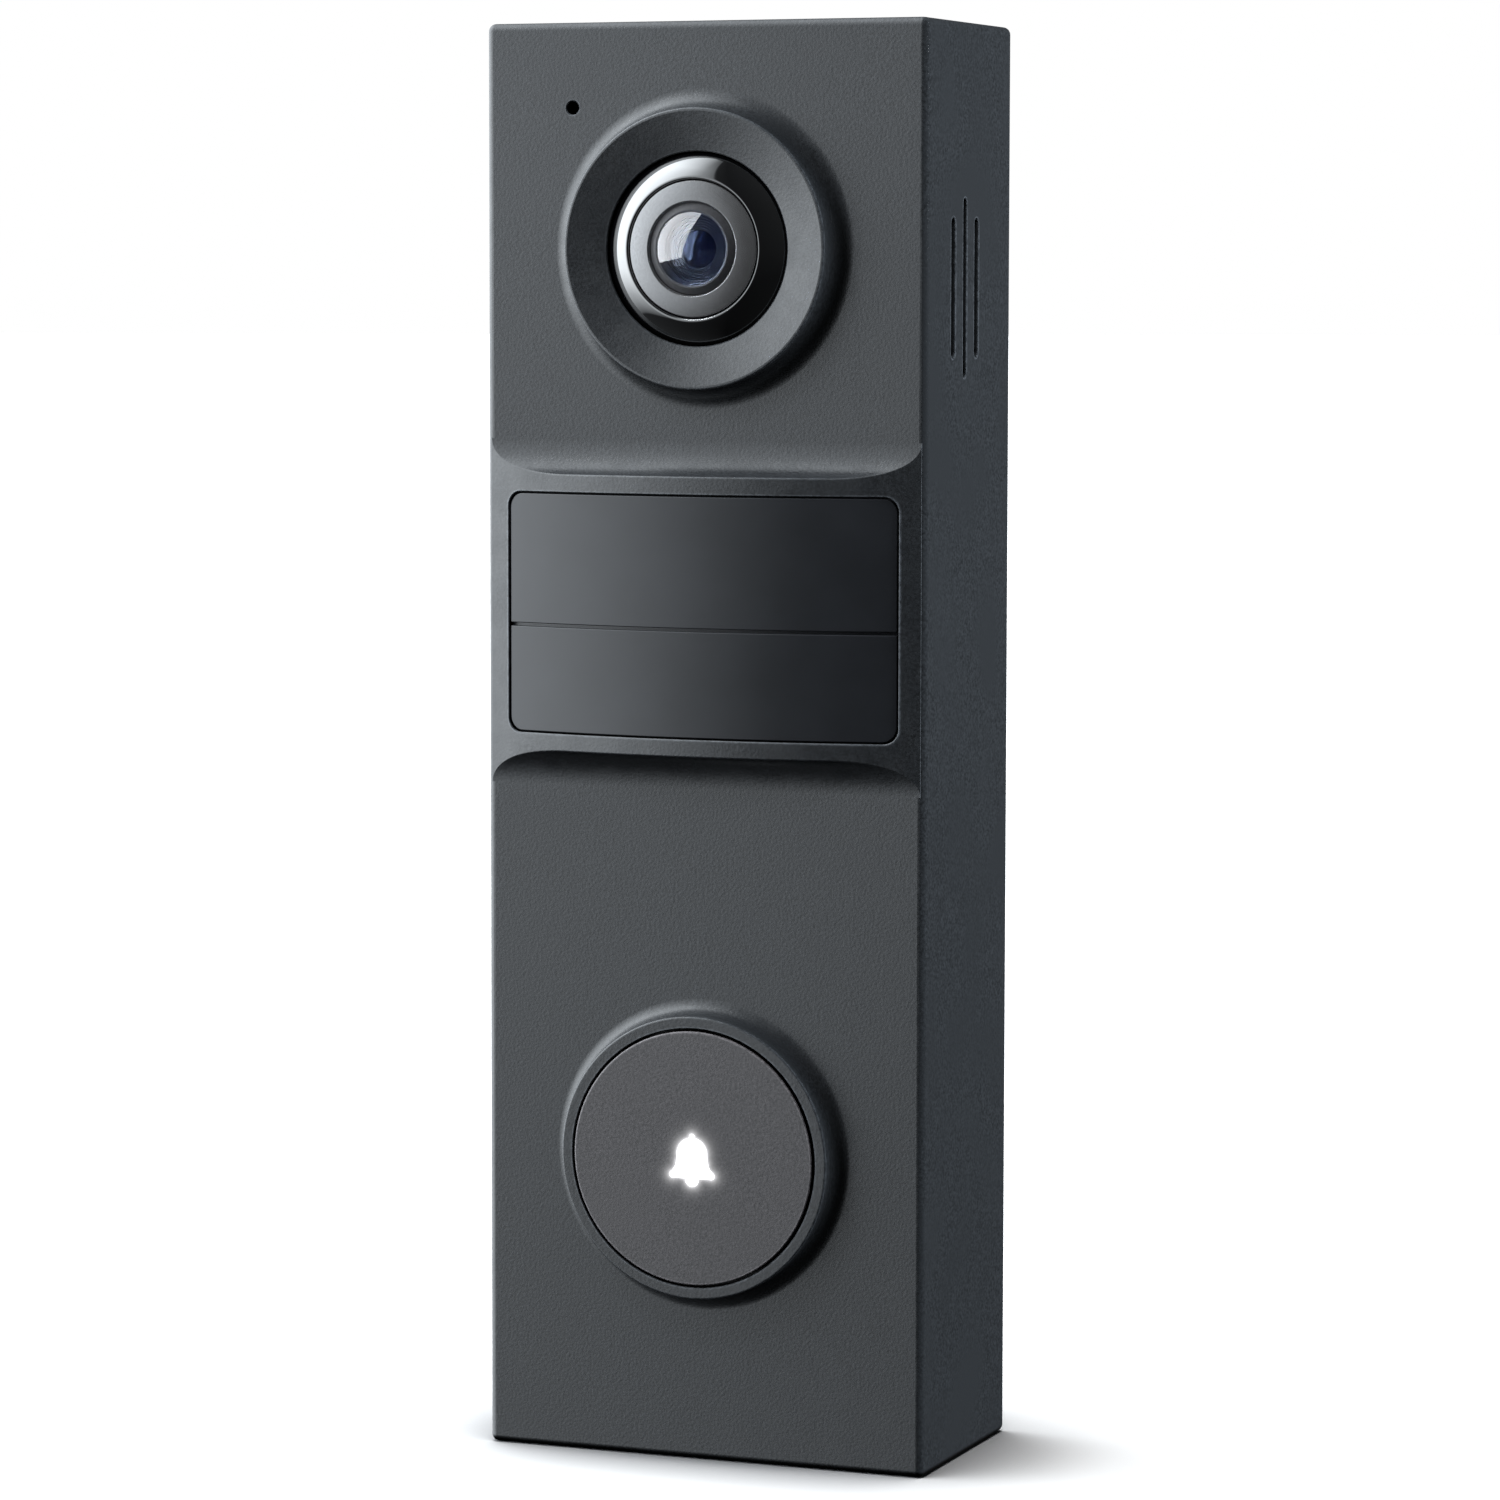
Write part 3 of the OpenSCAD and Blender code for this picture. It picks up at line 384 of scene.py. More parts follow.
def housing():
    shell = box((-BODY_W / 2, 0, 0), (BODY_W / 2, BODY_D, BODY_H), EDGE_R, 6)
    bm = bmesh.new()
    lathe(bm, collar_profile(radius=14.45, height=2.95, fillet=2.1, face_h=1.01), 0, CAMERA_Z, 192)
    lathe(bm, collar_profile(radius=14.85, height=BUTTON_COLLAR_H, fillet=1.6,
                             face_h=BUTTON_COLLAR_H), 0, BUTTON_Z, 192)
    join(shell, make_object(bm))
    join(shell, band_solid())

    inner = BODY_W / 2 - WALL
    cut(shell, box((-inner, WALL, WALL), (inner, BODY_D + 1, BODY_H - WALL)))
    join(shell, ledge(inner))
    bm = bmesh.new()
    for (x, z), top, _, _ in POSTS:
        rod(bm, x, z, 2.0, WALL - 0.5, top)
    join(shell, make_object(bm))
    bm = bmesh.new()
    for side in (-1, 1):
        for z in (20, 112):
            ends = sorted((side * (inner - 1.4), side * (inner + 0.5)))
            box_solid(bm, (ends[0], 25.25, z), (ends[1], BODY_D - 0.02, z + 8))
    join(shell, make_object(bm))

    cut(shell, bore_cutter(0, CAMERA_Z, CAMERA_BORE_R, 3.0, 1.98, 0.1))
    cut(shell, bore_cutter(0, BUTTON_Z, BUTTON_BORE_R, 0.4, BUTTON_COLLAR_H, 0.08))
    cut(shell, window_cutter())
    bm = bmesh.new()
    lip = 1.3
    pocket = round_rect(WINDOW_HALF - lip, WINDOW_LOW + lip, WINDOW_TOP - lip, 0.8)
    loft(bm, [[(x, y, z) for x, z in pocket] for y in (-6, 3)])
    rod(bm, 0, BUTTON_Z, 5.0, -1, 3, 96)
    rod(bm, 0, PLUNGER_Z, 2.7, -1, 3, 64)
    for (x, z), top, hole, deep in POSTS:
        rod(bm, x, z, hole, deep, top + 1, 32)
    cut(shell, make_object(bm))
    cut(shell, bore_cutter(MIC_X, MIC_Z, MIC_R, 3.0, 0.0, 0.1))
    cut(shell, side_slot_cutter())
    cut(shell, security_cutter())
    return finish_mesh(shell)


def stand_up(vertices):
    """Turns what points out of the front at (0, 0) to point up at the security screw's place."""
    for v in vertices:
        v.co = Vector((v.co.x, SECURITY_Y + v.co.z, -v.co.y))


def security_cutter():
    """The hole for the security screw in the underside, with its head's seat."""
    bm = bmesh.new()
    lathe(bm, [(0, 3), (1.1, 3), (1.1, 1.5), (1.7, 1.5), (1.7, 0.1), (2.8, -1), (0, -1)], 0, 0, 64)
    stand_up(bm.verts)
    return make_object(bm)


# ---------------- the camera


def crown_profile():
    """The surround's section: a rounded glossy crown on a flat flange behind the hole."""
    steep, shallow = math.radians(46), math.radians(18)
    width, inner_r, inner_h, steps = 2.4, 7.4, 3.08, 24
    ball = width / (math.sin(steep) - math.sin(shallow))
    turns = [math.pi / 2 - steep + (steep - shallow) * i / steps for i in range(steps + 1)]
    crown = [(inner_r + ball * (math.cos(a) - math.sin(shallow)),
              inner_h + ball * (math.sin(a) - math.cos(shallow))) for a in turns]
    rim = [(9.87, crown[0][1] - 0.16), (9.86, crown[0][1] - 0.06), (9.84, crown[0][1] - 0.02)]
    inner = [(7.3, 3.07), (7.2, 2.99), (7.12, 2.85)]
    return ([(7.05, -3.5), (12.2, -3.5), (12.2, -2.5), (9.87, -2.5)] + rim + crown[1:] + inner
            + [(7.05, 2.6)])


def bezel_profile():
    return rounded_corners([(4.75, -1.0, 0), (7.0, -1.0, 0), (7.0, 2.96, 0.12),
                            (4.9, 3.3, 0.1), (4.75, 3.0, 0.05)], 5)


def barrel_profile():
    """The barrel: a stepped bore with fine stray-light threads in front of the small glasses."""
    front = rounded_corners([(4.7, -6.0, 0), (4.7, 2.9, 0.1), (4.0, 3.28, 0.1), (3.78, 3.2, 0.05),
                             (3.78, 1.6, 0)], 4, False)
    baffle = []
    for k in range(6):
        baffle += [(3.35 - 0.25 * k, 1.6 - 0.06 * k), (3.28 - 0.25 * k, 1.38 - 0.06 * k)]
    return front + baffle + [(1.85, 1.2), (1.85, 0.98), (3.0, 0.7), (3.0, -0.5), (2.3, -0.5),
                             (2.3, -1.2), (1.1, -1.3), (1.1, -1.5), (2.3, -1.9), (2.3, -3.0),
                             (1.7, -3.0), (1.7, -6.0)]


def lens_profile(radius, back, edge, rise, hollow=0.0, steps=24):
    """A lens: its front bulges by rise above the edge, its back is hollow or flat."""
    ball = (radius ** 2 + rise ** 2) / (2 * rise)
    front = [(r, edge + math.sqrt(ball ** 2 - r * r) - (ball - rise))
             for r in (radius * (1 - i / steps) for i in range(steps + 1))]
    points = [(0, back + hollow)]
    if hollow:
        bowl = (radius ** 2 + hollow ** 2) / (2 * hollow)
        points = [(r, back + hollow - bowl + math.sqrt(bowl ** 2 - r * r))
                  for r in (radius * i / steps for i in range(steps))]
    return points + [(radius, back)] + front[:-1] + [(0, edge + rise)]


# ---------------- the window and the button


def curved_pane(low, top, corner_low, corner_top, lap_low=0.0, lap_top=0.0):
    """A pane of the window, bent to the band: a fine bevel round its face, and a lap behind."""
    bm = bmesh.new()
    recess, thick, bevel, lap = 0.15, 1.25, 0.09, 0.6
    bent_slab(bm, [(level, WINDOW_HALF - inset, low + inset - lap_low * back,
                    top - inset + lap_top * back, corner_low - inset, corner_top - inset)
                   for level, inset, back in (
                       (recess + thick, 0.0, 1), (recess + lap, 0.0, 1), (recess + lap, 0.0, 0),
                       (recess + bevel, 0.0, 0), (recess + bevel * 0.3, bevel * 0.3, 0),
                       (recess, bevel, 0))])
    return finish_mesh(make_object(bm), 20.0)


def bell_prism(low, high):
    """The bell, from height low to high, as one solid: knob, dome, flared skirt and clapper."""
    side = [(1.7, 0.5), (1.715, 0.1), (1.77, -0.35), (1.88, -0.75), (2.05, -1.08), (2.3, -1.36),
            (2.5, -1.55), (2.55, -1.78), (2.42, -2.02), (2.2, -2.1)]
    outline = [(-x, z) for x, z in side] + [(x, z) for x, z in side[::-1]]
    bell = turned([(0, low), (1.7, low), (1.7, high), (0, high)], 0, BUTTON_Z + 0.5, 96)
    bm = bmesh.new()
    loft(bm, [[(x, -h, BUTTON_Z + z) for x, z in outline] for h in (low, high)])
    join(bell, make_object(bm))
    for radius, z in ((0.33, 2.27), (0.75, -2.2)):
        disc = [(0, low), (radius, low), (radius, high), (0, high)]
        join(bell, turned(disc, 0, BUTTON_Z + z, 48))
    return bell


def button_cap():
    cap = turned(rounded_corners([
        (0, 1.2, 0), (12.2, 1.2, 0), (12.2, 0.9, 0), (13.33, 0.9, 0.05), (13.33, 3.0, 0.16),
        (0, 3.0, 0)], 5, False), 0, BUTTON_Z, 192)
    cut(cap, bell_prism(0.5, 3.6))
    bm = bmesh.new()
    rod(bm, 0, PLUNGER_Z, 1.5, -1.25, 0.2)
    join(cap, make_object(bm))
    return finish_mesh(cap)


def bell_icon():
    icon = bell_prism(1.1, 2.985)
    join(icon, turned([(0, 0.4), (3.9, 0.4), (3.9, 1.2), (0, 1.2)], 0, BUTTON_Z - 0.3, 64))
    return finish_mesh(icon)


# ---------------- the back

COVER_Y, BRACKET_Y = 24.0, 26.0   # the outer faces
SEAT_Y = 23.0
SCREW_SEAT_R, SCREW_SEAT_CHAMFER = 2.3, 0.15
RESET_X, USB_X, PORT_Z = -5.6, 1.8, 90.0
USB_HALF_W, USB_LOW, USB_TOP, USB_CORNER_R = 4.47, 88.42, 91.58, 1.3
TERMINAL_X, TERMINAL_Z = (-4.2, 4.2), 130.0
FLAP_HALF_W, FLAP_LOW, FLAP_TOP, FLAP_T = 8.0, 82.6, 97.4, 0.9
PLATE_HALF_W, PLATE_LOW, PLATE_TOP = 20.7, 10.5, 145.5
PLATE_Y = 24.1
WALL_HOLE_R, WALL_HOLES_Z = 2.2, (38.0, 114.0)


def back_pocket(bm, half_w, low, top, radius, y_in, y_face, chamfer, x=0.0):
    """Adds a cutter for a rounded opening in a back face, with a chamfered mouth."""
    rings = []
    for y, spread in ((y_in, 0), (y_face - chamfer, 0), (y_face + 0.4, chamfer + 0.4)):
        rings.append([(x + a, y, z) for a, z in
                      round_rect(half_w + spread, low - spread, top + spread, radius + spread, 6)])
    loft(bm, rings)


def back_bore(bm, x, z, radius, y_in, y_face, chamfer):
    lathe(bm, [(0, -y_in), (radius, -y_in), (radius, chamfer - y_face),
               (radius + chamfer + 0.4, -y_face - 0.4), (0, -y_face - 0.4)], x, z, 64)


def cut_away(target, build):
    bm = bmesh.new()
    build(bm)
    cut(target, make_object(bm))


def back_cover():
    """The cover: seats for its screws, the flap and the terminals, and a groove for the foot."""
    front = 21.0
    cover = box((-22.3, 21.8, 2.2), (22.3, COVER_Y, 147.8), 0.25)

    def sunk_seats(bm):
        for x, z in COVER_POSTS:
            back_bore(bm, x, z, SCREW_SEAT_R, SEAT_Y, COVER_Y, SCREW_SEAT_CHAMFER)
        back_pocket(bm, 8.2, 81.6, 97.6, 0.5, SEAT_Y, COVER_Y, 0.12)
        back_pocket(bm, 8.0, 126.0, 134.0, 0.6, front, COVER_Y, 0.2)

    def through(bm):
        for x, z in COVER_POSTS:
            rod(bm, x, z, 1.25, front, 23.5, 32)
        back_pocket(bm, 4.6, 88.3, 91.7, 1.3, front, SEAT_Y, 0.2, USB_X)
        back_bore(bm, RESET_X, PORT_Z, 1.2, front, SEAT_Y, 0.15)

    def groove(bm):
        box_solid(bm, (-2.9, 22.3, 0), (2.9, 25, 20.2))

    for build in (sunk_seats, through, groove):
        cut_away(cover, build)
    return finish_mesh(cover)


def port_flap():
    """The rubber flap: a soft-edged lid with a hinge roll, grip grooves and a finger nick."""
    flap = box((-FLAP_HALF_W, COVER_Y - FLAP_T, FLAP_LOW),
               (FLAP_HALF_W, COVER_Y, FLAP_TOP), 0.2, 4)
    roll_r, roll_half = 0.42, FLAP_HALF_W - 0.1
    roll = turned(rounded_corners([
        (0, -roll_half, 0), (roll_r, -roll_half, 0.1), (roll_r, roll_half, 0.1),
        (0, roll_half, 0)], 4, False), 0, 0, 40)
    for v in roll.data.vertices:
        v.co = Vector((v.co.y, v.co.x + COVER_Y - FLAP_T / 2, v.co.z + FLAP_LOW))
    join(flap, roll)

    def nick_and_grooves(bm):
        back_pocket(bm, 3.0, 96.0, 99.0, 0.6, 23.65, COVER_Y, 0.08)
        for z in (90.8, 92.4, 94.0):
            back_pocket(bm, 4.2, z, z + 0.5, 0.24, 23.82, COVER_Y, 0.04)

    cut_away(flap, nick_and_grooves)
    return finish_mesh(flap)


def wall_bracket():
    """The bracket: a plate whose thin borders slide behind the tabs, and a foot at its end."""
    bm = bmesh.new()
    for side in (-1, 1):
        ends = sorted((side * 20.2, side * 22.3))
        box_solid(bm, (ends[0], PLATE_Y, PLATE_LOW), (ends[1], PLATE_Y + 1, PLATE_TOP), 0.2)
    borders = make_object(bm)
    bracket = box((-PLATE_HALF_W, PLATE_Y, PLATE_LOW),
                  (PLATE_HALF_W, BRACKET_Y, PLATE_TOP), 0.3, 4)
    join(bracket, borders)
    join(bracket, box((-2.6, 22.4, PLATE_LOW), (2.6, 25.5, 19.9), 0.2))

    def windows(bm):
        for half_w, low, top in ((12.0, 76.0, 106.0), (9.5, 123.0, 142.0)):
            back_pocket(bm, half_w, low, top, 2.0, SEAT_Y, BRACKET_Y, 0.3)
        for z in WALL_HOLES_Z:
            back_bore(bm, 0, z, WALL_HOLE_R, SEAT_Y, BRACKET_Y, 0.25)

    def seats(bm):
        """The countersinks of the two wall screws."""
        for z in WALL_HOLES_Z:
            lathe(bm, [(0, -25.2), (WALL_HOLE_R, -25.2), (4.1, -PLATE_Y), (4.8, -23.6),
                       (0, -23.6)], 0, z, 64)

    def notches(bm):
        """Gaps in the borders, so that the plate can be put in between the tabs."""
        for side in (-1, 1):
            for z in (28.0, 120.0):
                ends = sorted((side * PLATE_HALF_W, side * 24))
                box_solid(bm, (ends[0], 23, z - 0.4), (ends[1], 27, z + 8.4))

    def ribs(bm):
        """Shallow pockets that leave stiffening ribs, as on a moulded plate."""
        for x in (-12.6, -4.2, 4.2, 12.6):
            back_pocket(bm, 3.4, 46.0, 70.0, 0.8, 25.2, BRACKET_Y, 0.12, x)

    def screw_bore(bm):
        radius, length = 1.06, 25
        lathe(bm, [(0, 0), (radius, 0), (radius, length), (0, length)], 0, 0, 32)
        stand_up(bm.verts)

    for build in (windows, seats, notches, ribs, screw_bore):
        cut_away(bracket, build)
    return finish_mesh(bracket)


def cross_recess(x, z, y_top, reach, width, deep):
    """A cutter for the tapered cross that a screwdriver fits, sunk from y_top."""
    bm = bmesh.new()
    arm = [(width, width), (width, reach), (-width, reach)]
    outline = []
    for _ in range(4):
        outline += arm
        arm = [(-b, a) for a, b in arm]
    corners = list(dict.fromkeys(outline))
    loft(bm, [[(x + a * share, y, z + b * share) for a, b in corners]
              for y, share in ((y_top - deep, 0.55), (y_top + 0.3, 1.12))])
    return make_object(bm)


def back_screws(places, y, shaft_r, length, head_r, head_h, dome):
    """Cross-headed screws seen from the back, each with a domed and softly edged head."""
    bm = bmesh.new()
    crown = [(head_r * k / 8, -(y + head_h - dome * (k / 8) ** 2)) for k in range(8, -1, -1)]
    rim = y + head_h - dome
    section = [(0, length - y), (shaft_r * 0.6, length - y), (shaft_r, length - 0.8 - y),
               (shaft_r, -y), (head_r - 0.05, -y), (head_r, -y - 0.05),
               (head_r, 0.1 - rim), (head_r - 0.04, 0.03 - rim)]
    section += [(r, h) for r, h in crown[1:]]
    for x, z in places:
        lathe(bm, section, x, z, 64)
    screws = make_object(bm)
    for x, z in places:
        cut(screws, cross_recess(x, z, y + head_h, head_r * 0.6, head_r * 0.17, head_h * 0.75))
    return finish_mesh(screws)


def terminal_block():
    """The block behind the cover, whose face comes up in the cover's opening."""
    face_y = 22.4
    block = box((-10, 16.3, 124.8), (10, 21.7, 135.2), 0.25)
    join(block, box((-7.8, 21.2, 126.2), (7.8, face_y, 133.8), 0.2))

    def holes(bm):
        for x in TERMINAL_X:
            rod(bm, x, TERMINAL_Z, 1.25, 17.8, 23)
            back_pocket(bm, 3.2, 127.0, 133.0, 0.4, 22.15, face_y, 0.06, x)

    cut_away(block, holes)
    return finish_mesh(block)


def security_screw():
    """The screw in the underside: it stands upright, with a hexagon socket in its head."""
    bm = bmesh.new()
    section = [(0, 0.4), (1.45, 0.4), (1.6, 0.55), (1.6, 1.5), (1.0, 1.5), (1.0, 15.4), (0.6, 16.0),
               (0, 16.0)]
    lathe(bm, section, 0, 0, 64)
    hexagon = bmesh.new()
    corners = [(0.8 * math.cos(math.pi * k / 3), 0.8 * math.sin(math.pi * k / 3)) for k in range(6)]
    loft(hexagon, [[(x, -h, z) for x, z in corners] for h in (-0.5, 1.0)])
    screw = cut(make_object(bm), make_object(hexagon))
    stand_up(screw.data.vertices)
    return finish_mesh(screw)


def usb_socket():
    """The charging socket: a rolled steel shell around a tongue with its contacts."""
    wall, pitch = 0.3, 0.75
    bm = bmesh.new()
    rings = []
    for y, spread in ((16.3, 0.0), (SEAT_Y - 0.1, 0.0), (SEAT_Y, -0.1)):
        outline = round_rect(USB_HALF_W + spread, USB_LOW - spread, USB_TOP + spread,
                             USB_CORNER_R + spread, 8)
        rings.append([(USB_X + a, y, z) for a, z in outline])
    loft(bm, rings)
    shell = make_object(bm)

    def mouth(bm):
        back_pocket(bm, USB_HALF_W - wall, USB_LOW + wall, USB_TOP - wall, 1.1, 16.8, SEAT_Y, 0.08,
                    USB_X)

    cut_away(shell, mouth)
    join(shell, box((-1.5, 16.5, 89.65), (5.1, 22.4, 90.35), 0.12, 2))
    bm = bmesh.new()
    for k in range(8):
        x = -0.95 + k * pitch
        for z in (89.6, 90.32):
            box_solid(bm, (x, 19.0, z), (x + 0.35, 22.1, z + 0.08))
    join(shell, make_object(bm))
    return finish_mesh(shell)


def reset_button():
    bm = bmesh.new()
    section = rounded_corners([(0, -20.0, 0), (1.1, -20.0, 0), (1.1, -21.0, 0), (1.8, -21.0, 0.05),
                               (1.8, -21.6, 0.05), (1.1, -21.6, 0), (1.1, -22.9, 0.2),
                               (0, -22.9, 0)], 4, False)
    lathe(bm, section, RESET_X, PORT_Z, 64)
    return finish_mesh(make_object(bm))


# ---------------- materials


class Graph:
    """A node tree, with a short way to add a calculation to it."""

    def __init__(self, tree):
        self.nodes, self.links = tree.nodes, tree.links

    def math(self, operation, *values):
        node = self.nodes.new("ShaderNodeMath")
        node.operation = operation
        for socket, value in zip(node.inputs, values):
            if isinstance(value, (int, float)):
                socket.default_value = value
            else:
                self.links.new(value, socket)
        return node.outputs[0]


class Surface(Graph):
    """A procedural material: colour drift, fine grain, uneven roughness and lighter edges."""

    def __init__(self, name, colour, roughness, metallic=0.0):
        self.material = bpy.data.materials.new(name)
        self.material.use_nodes = True
        super().__init__(self.material.node_tree)
        self.shader = self.nodes["Principled BSDF"]
        self.shader.inputs["Metallic"].default_value = metallic
        self.place = self.nodes.new("ShaderNodeTexCoord").outputs["Object"]
        self.colour = self.nodes.new("ShaderNodeRGB").outputs[0]
        self.colour.default_value = (*colour, 1)
        self.base = colour
        self.roughness = roughness
        self.normal = None

    def noise(self, size_mm, detail=2.0, stretch=(1, 1, 1)):
        mapping = self.nodes.new("ShaderNodeMapping")
        mapping.inputs["Scale"].default_value = stretch
        self.links.new(self.place, mapping.inputs["Vector"])
        node = self.nodes.new("ShaderNodeTexNoise")
        node.inputs["Scale"].default_value = 1000.0 / size_mm
        node.inputs["Detail"].default_value = detail
        self.links.new(mapping.outputs["Vector"], node.inputs["Vector"])
        return node.outputs["Fac"]

    def cells(self, size_mm, feature="F1"):
        node = self.nodes.new("ShaderNodeTexVoronoi")
        node.feature = feature
        node.inputs["Scale"].default_value = 1000.0 / size_mm
        self.links.new(self.place, node.inputs["Vector"])
        return node.outputs["Distance"]

    def remap(self, value, low, high, out_low, out_high):
        node = self.nodes.new("ShaderNodeMapRange")
        self.links.new(value, node.inputs["Value"])
        for name, number in (("From Min", low), ("From Max", high), ("To Min", out_low),
                             ("To Max", out_high)):
            node.inputs[name].default_value = number
        return node.outputs["Result"]

    def tint(self, factor, colour):
        """Mixes the colour so far with another one."""
        node = self.nodes.new("ShaderNodeMix")
        node.data_type = "RGBA"
        self.links.new(factor, node.inputs["Factor"])
        self.links.new(self.colour, node.inputs["A"])
        node.inputs["B"].default_value = (*colour, 1)
        self.colour = node.outputs["Result"]
        return self

    def drift(self, size_mm, amount, detail=3.0):
        """Lightens and darkens the colour in patches of about that size."""
        value = self.noise(size_mm, detail)
        dark = tuple(c * (1 - amount) for c in self.base)
        light = tuple(min(1, c * (1 + amount)) for c in self.base)
        self.tint(self.remap(value, 0.5, 0.3, 0, 1), dark)
        return self.tint(self.remap(value, 0.5, 0.7, 0, 1), light)

    def bump(self, height, strength, depth_mm):
        node = self.nodes.new("ShaderNodeBump")
        node.inputs["Strength"].default_value = strength
        node.inputs["Distance"].default_value = depth_mm * MM
        self.links.new(height, node.inputs["Height"])
        if self.normal:
            self.links.new(self.normal, node.inputs["Normal"])
        self.normal = node.outputs["Normal"]
        return self

    def edge_wear_and_highlight(self, reach_mm, colour, amount):
        """Lightens the places where the surface turns a corner: wear on the bare metals, a painted
        highlight on moulded plastic.
        """
        node = self.nodes.new("ShaderNodeAmbientOcclusion")
        node.inside = True
        node.samples = 8
        node.inputs["Distance"].default_value = reach_mm * MM
        edge = self.remap(node.outputs["AO"], 0.86, 0.6, 0, amount)
        uneven = self.remap(self.noise(0.6), 0.35, 0.6, 0.3, 1)
        return self.tint(self.math("MULTIPLY", edge, uneven), colour)

    def painted_crevice_shade(self, reach_mm):
        """Painted shade: darkens narrow gaps, deep holes and the feet of roundings, where little
        light comes in, and takes away their sheen.
        """
        node = self.nodes.new("ShaderNodeAmbientOcclusion")
        node.samples = 8
        node.inputs["Distance"].default_value = reach_mm * MM
        # Painted shade: near black where the surroundings close in within reach.
        self.tint(self.remap(node.outputs["AO"], 0.45, 0.78, 1, 0), (0.0015, 0.0015, 0.0015))
        self.links.new(self.remap(node.outputs["AO"], 0.4, 0.75, 0.01, 0.5),
                       self.shader.inputs["Specular IOR Level"])
        return self

    def done(self, rough_size=2.0, rough_spread=0.05):
        self.links.new(self.colour, self.shader.inputs["Base Color"])
        value = self.noise(rough_size, 3.0)
        self.links.new(self.remap(value, 0.3, 0.7, self.roughness - rough_spread,
                                  self.roughness + rough_spread), self.shader.inputs["Roughness"])
        if self.normal:
            self.links.new(self.normal, self.shader.inputs["Normal"])
        return self.material

    def set(self, **values):
        for name, value in values.items():
            self.shader.inputs[name.replace("_", " ")].default_value = value
        return self


def moulded(name, colour, roughness, grain=0.3, strength=0.45):
    """Fine spark-eroded grain on moulded plastic, with painted highlights on its edges and painted
    shade in its gaps and holes.
    """
    surface = Surface(name, colour, roughness)
    surface.drift(0.3, 0.42, 1.0).drift(14.0, 0.04)
    surface.bump(surface.noise(grain, 2.0), strength, 0.04)
    # Painted highlight: edges and rims lightened up to eight times the colour, for the light their
    # roundings catch.
    surface.edge_wear_and_highlight(0.4, tuple(min(1, c * 8) for c in colour), 0.7)
    # Painted shade in gaps, holes and the feet of roundings.
    return surface.set(IOR=1.9).painted_crevice_shade(1.4)


GRAINED = {   # slot: colour, roughness, metallic, patches, grain, bump, uneven roughness
    "satin_ring": ((0.29, 0.293, 0.3), 0.25, 0.8, (0.2, 0.05, 1.0), (0.12, 2.0), (0.03, 0.01),
                   (1.0, 0.02)),
    "barrel_black": ((0.03, 0.031, 0.034), 0.5, 0.0, (0.3, 0.2), (0.15,), (0.1, 0.02), (1.0,)),
    "seal_rubber": ((0.028, 0.028, 0.03), 0.62, 0.0, (2.0, 0.2), (0.35, 3.0), (0.25, 0.05),
                    (3.0, 0.08)),
    "chip_black": ((0.02, 0.02, 0.022), 0.55, 0.0, (1.0, 0.25), (0.1,), (0.2, 0.02), ()),
    "white_plastic": ((0.72, 0.7, 0.64), 0.45, 0.0, (2.0, 0.05), (0.3,), (0.1, 0.02), ()),
    "lead_insulation": ((0.5, 0.03, 0.02), 0.35, 0.0, (1.0, 0.15), (0.8,), (0.1, 0.03), ()),
    "speaker_film": ((0.05, 0.05, 0.055), 0.35, 0.0, (1.0, 0.2), (0.6,), (0.15, 0.03), ()),
    "cell_sleeve": ((0.02, 0.10, 0.16), 0.28, 0.0, (8.0, 0.15), (6.0, 2.0), (0.1, 0.3), (5.0,)),
    "coil_copper": ((0.6, 0.22, 0.08), 0.3, 1.0, (0.5, 0.2), (0.25, 0.0, (0.1, 0.1, 1)),
                    (0.6, 0.1), ()),
    "tin_steel": ((0.55, 0.55, 0.53), 0.3, 1.0, (1.5, 0.1), (0.5, 3.0, (1, 0.2, 1)),
                  (0.1, 0.02), (1.5, 0.08)),
    "screw_steel": ((0.36, 0.36, 0.37), 0.27, 1.0, (0.8, 0.15), (0.3, 3.0), (0.1, 0.02),
                    (1.0, 0.07)),
    "terminal_brass": ((0.62, 0.44, 0.16), 0.28, 1.0, (1.0, 0.15), (0.3, 3.0), (0.1, 0.02),
                       (1.0, 0.07)),
}
WORN = {   # slot: reach, colour and amount of the lighter edges
    "tin_steel": (0.1, (0.75, 0.75, 0.73), 0.5),
    "screw_steel": (0.08, (0.6, 0.6, 0.6), 0.6),
    "terminal_brass": (0.08, (0.8, 0.62, 0.3), 0.6),
}
GLASSY = {   # slot: colour, roughness, patches, refraction, clearness, uneven roughness
    "gloss_black": ((0.002, 0.002, 0.0025), 0.03, (3.0, 0.3), 3.7, 0.0, (4.0, 0.008)),
    "lens_glass": ((0.33, 0.38, 0.49), 0.012, (4.0, 0.05), 1.2, 1.0, (4.0, 0.006)),
    "inner_glass": ((0.012, 0.016, 0.03), 0.012, (2.0, 0.1), 1.3, 0.6, (4.0, 0.006)),
    "window_black": ((0.018, 0.0198, 0.0235), 0.3, (6.0, 0.12), 1.65, 0.0, (20.0, 0.02)),
    "led_clear": ((0.85, 0.86, 0.8), 0.1, (0.8, 0.1), 1.5, 0.6, (1.0, 0.03)),
    "filter_glass": ((0.3, 0.6, 0.62), 0.05, (2.0, 0.1), 1.52, 0.8, (2.0, 0.02)),
}


def grained(name):
    """A surface with patches and a grain and, on the bare metals, with worn edges."""
    colour, roughness, metallic, patches, grain, bump, uneven = GRAINED[name]
    surface = Surface(name, colour, roughness, metallic).drift(*patches)
    surface.bump(surface.noise(*grain), *bump)
    if name in WORN:
        surface.edge_wear_and_highlight(*WORN[name])
    return surface.done(*uneven)


def glassy(name):
    """A smooth surface with faint patches: glossy plastic, glass or clear resin."""
    colour, roughness, patches, refraction, clearness, uneven = GLASSY[name]
    surface = Surface(name, colour, roughness).drift(*patches)
    return surface.set(IOR=refraction, Transmission_Weight=clearness).done(*uneven)


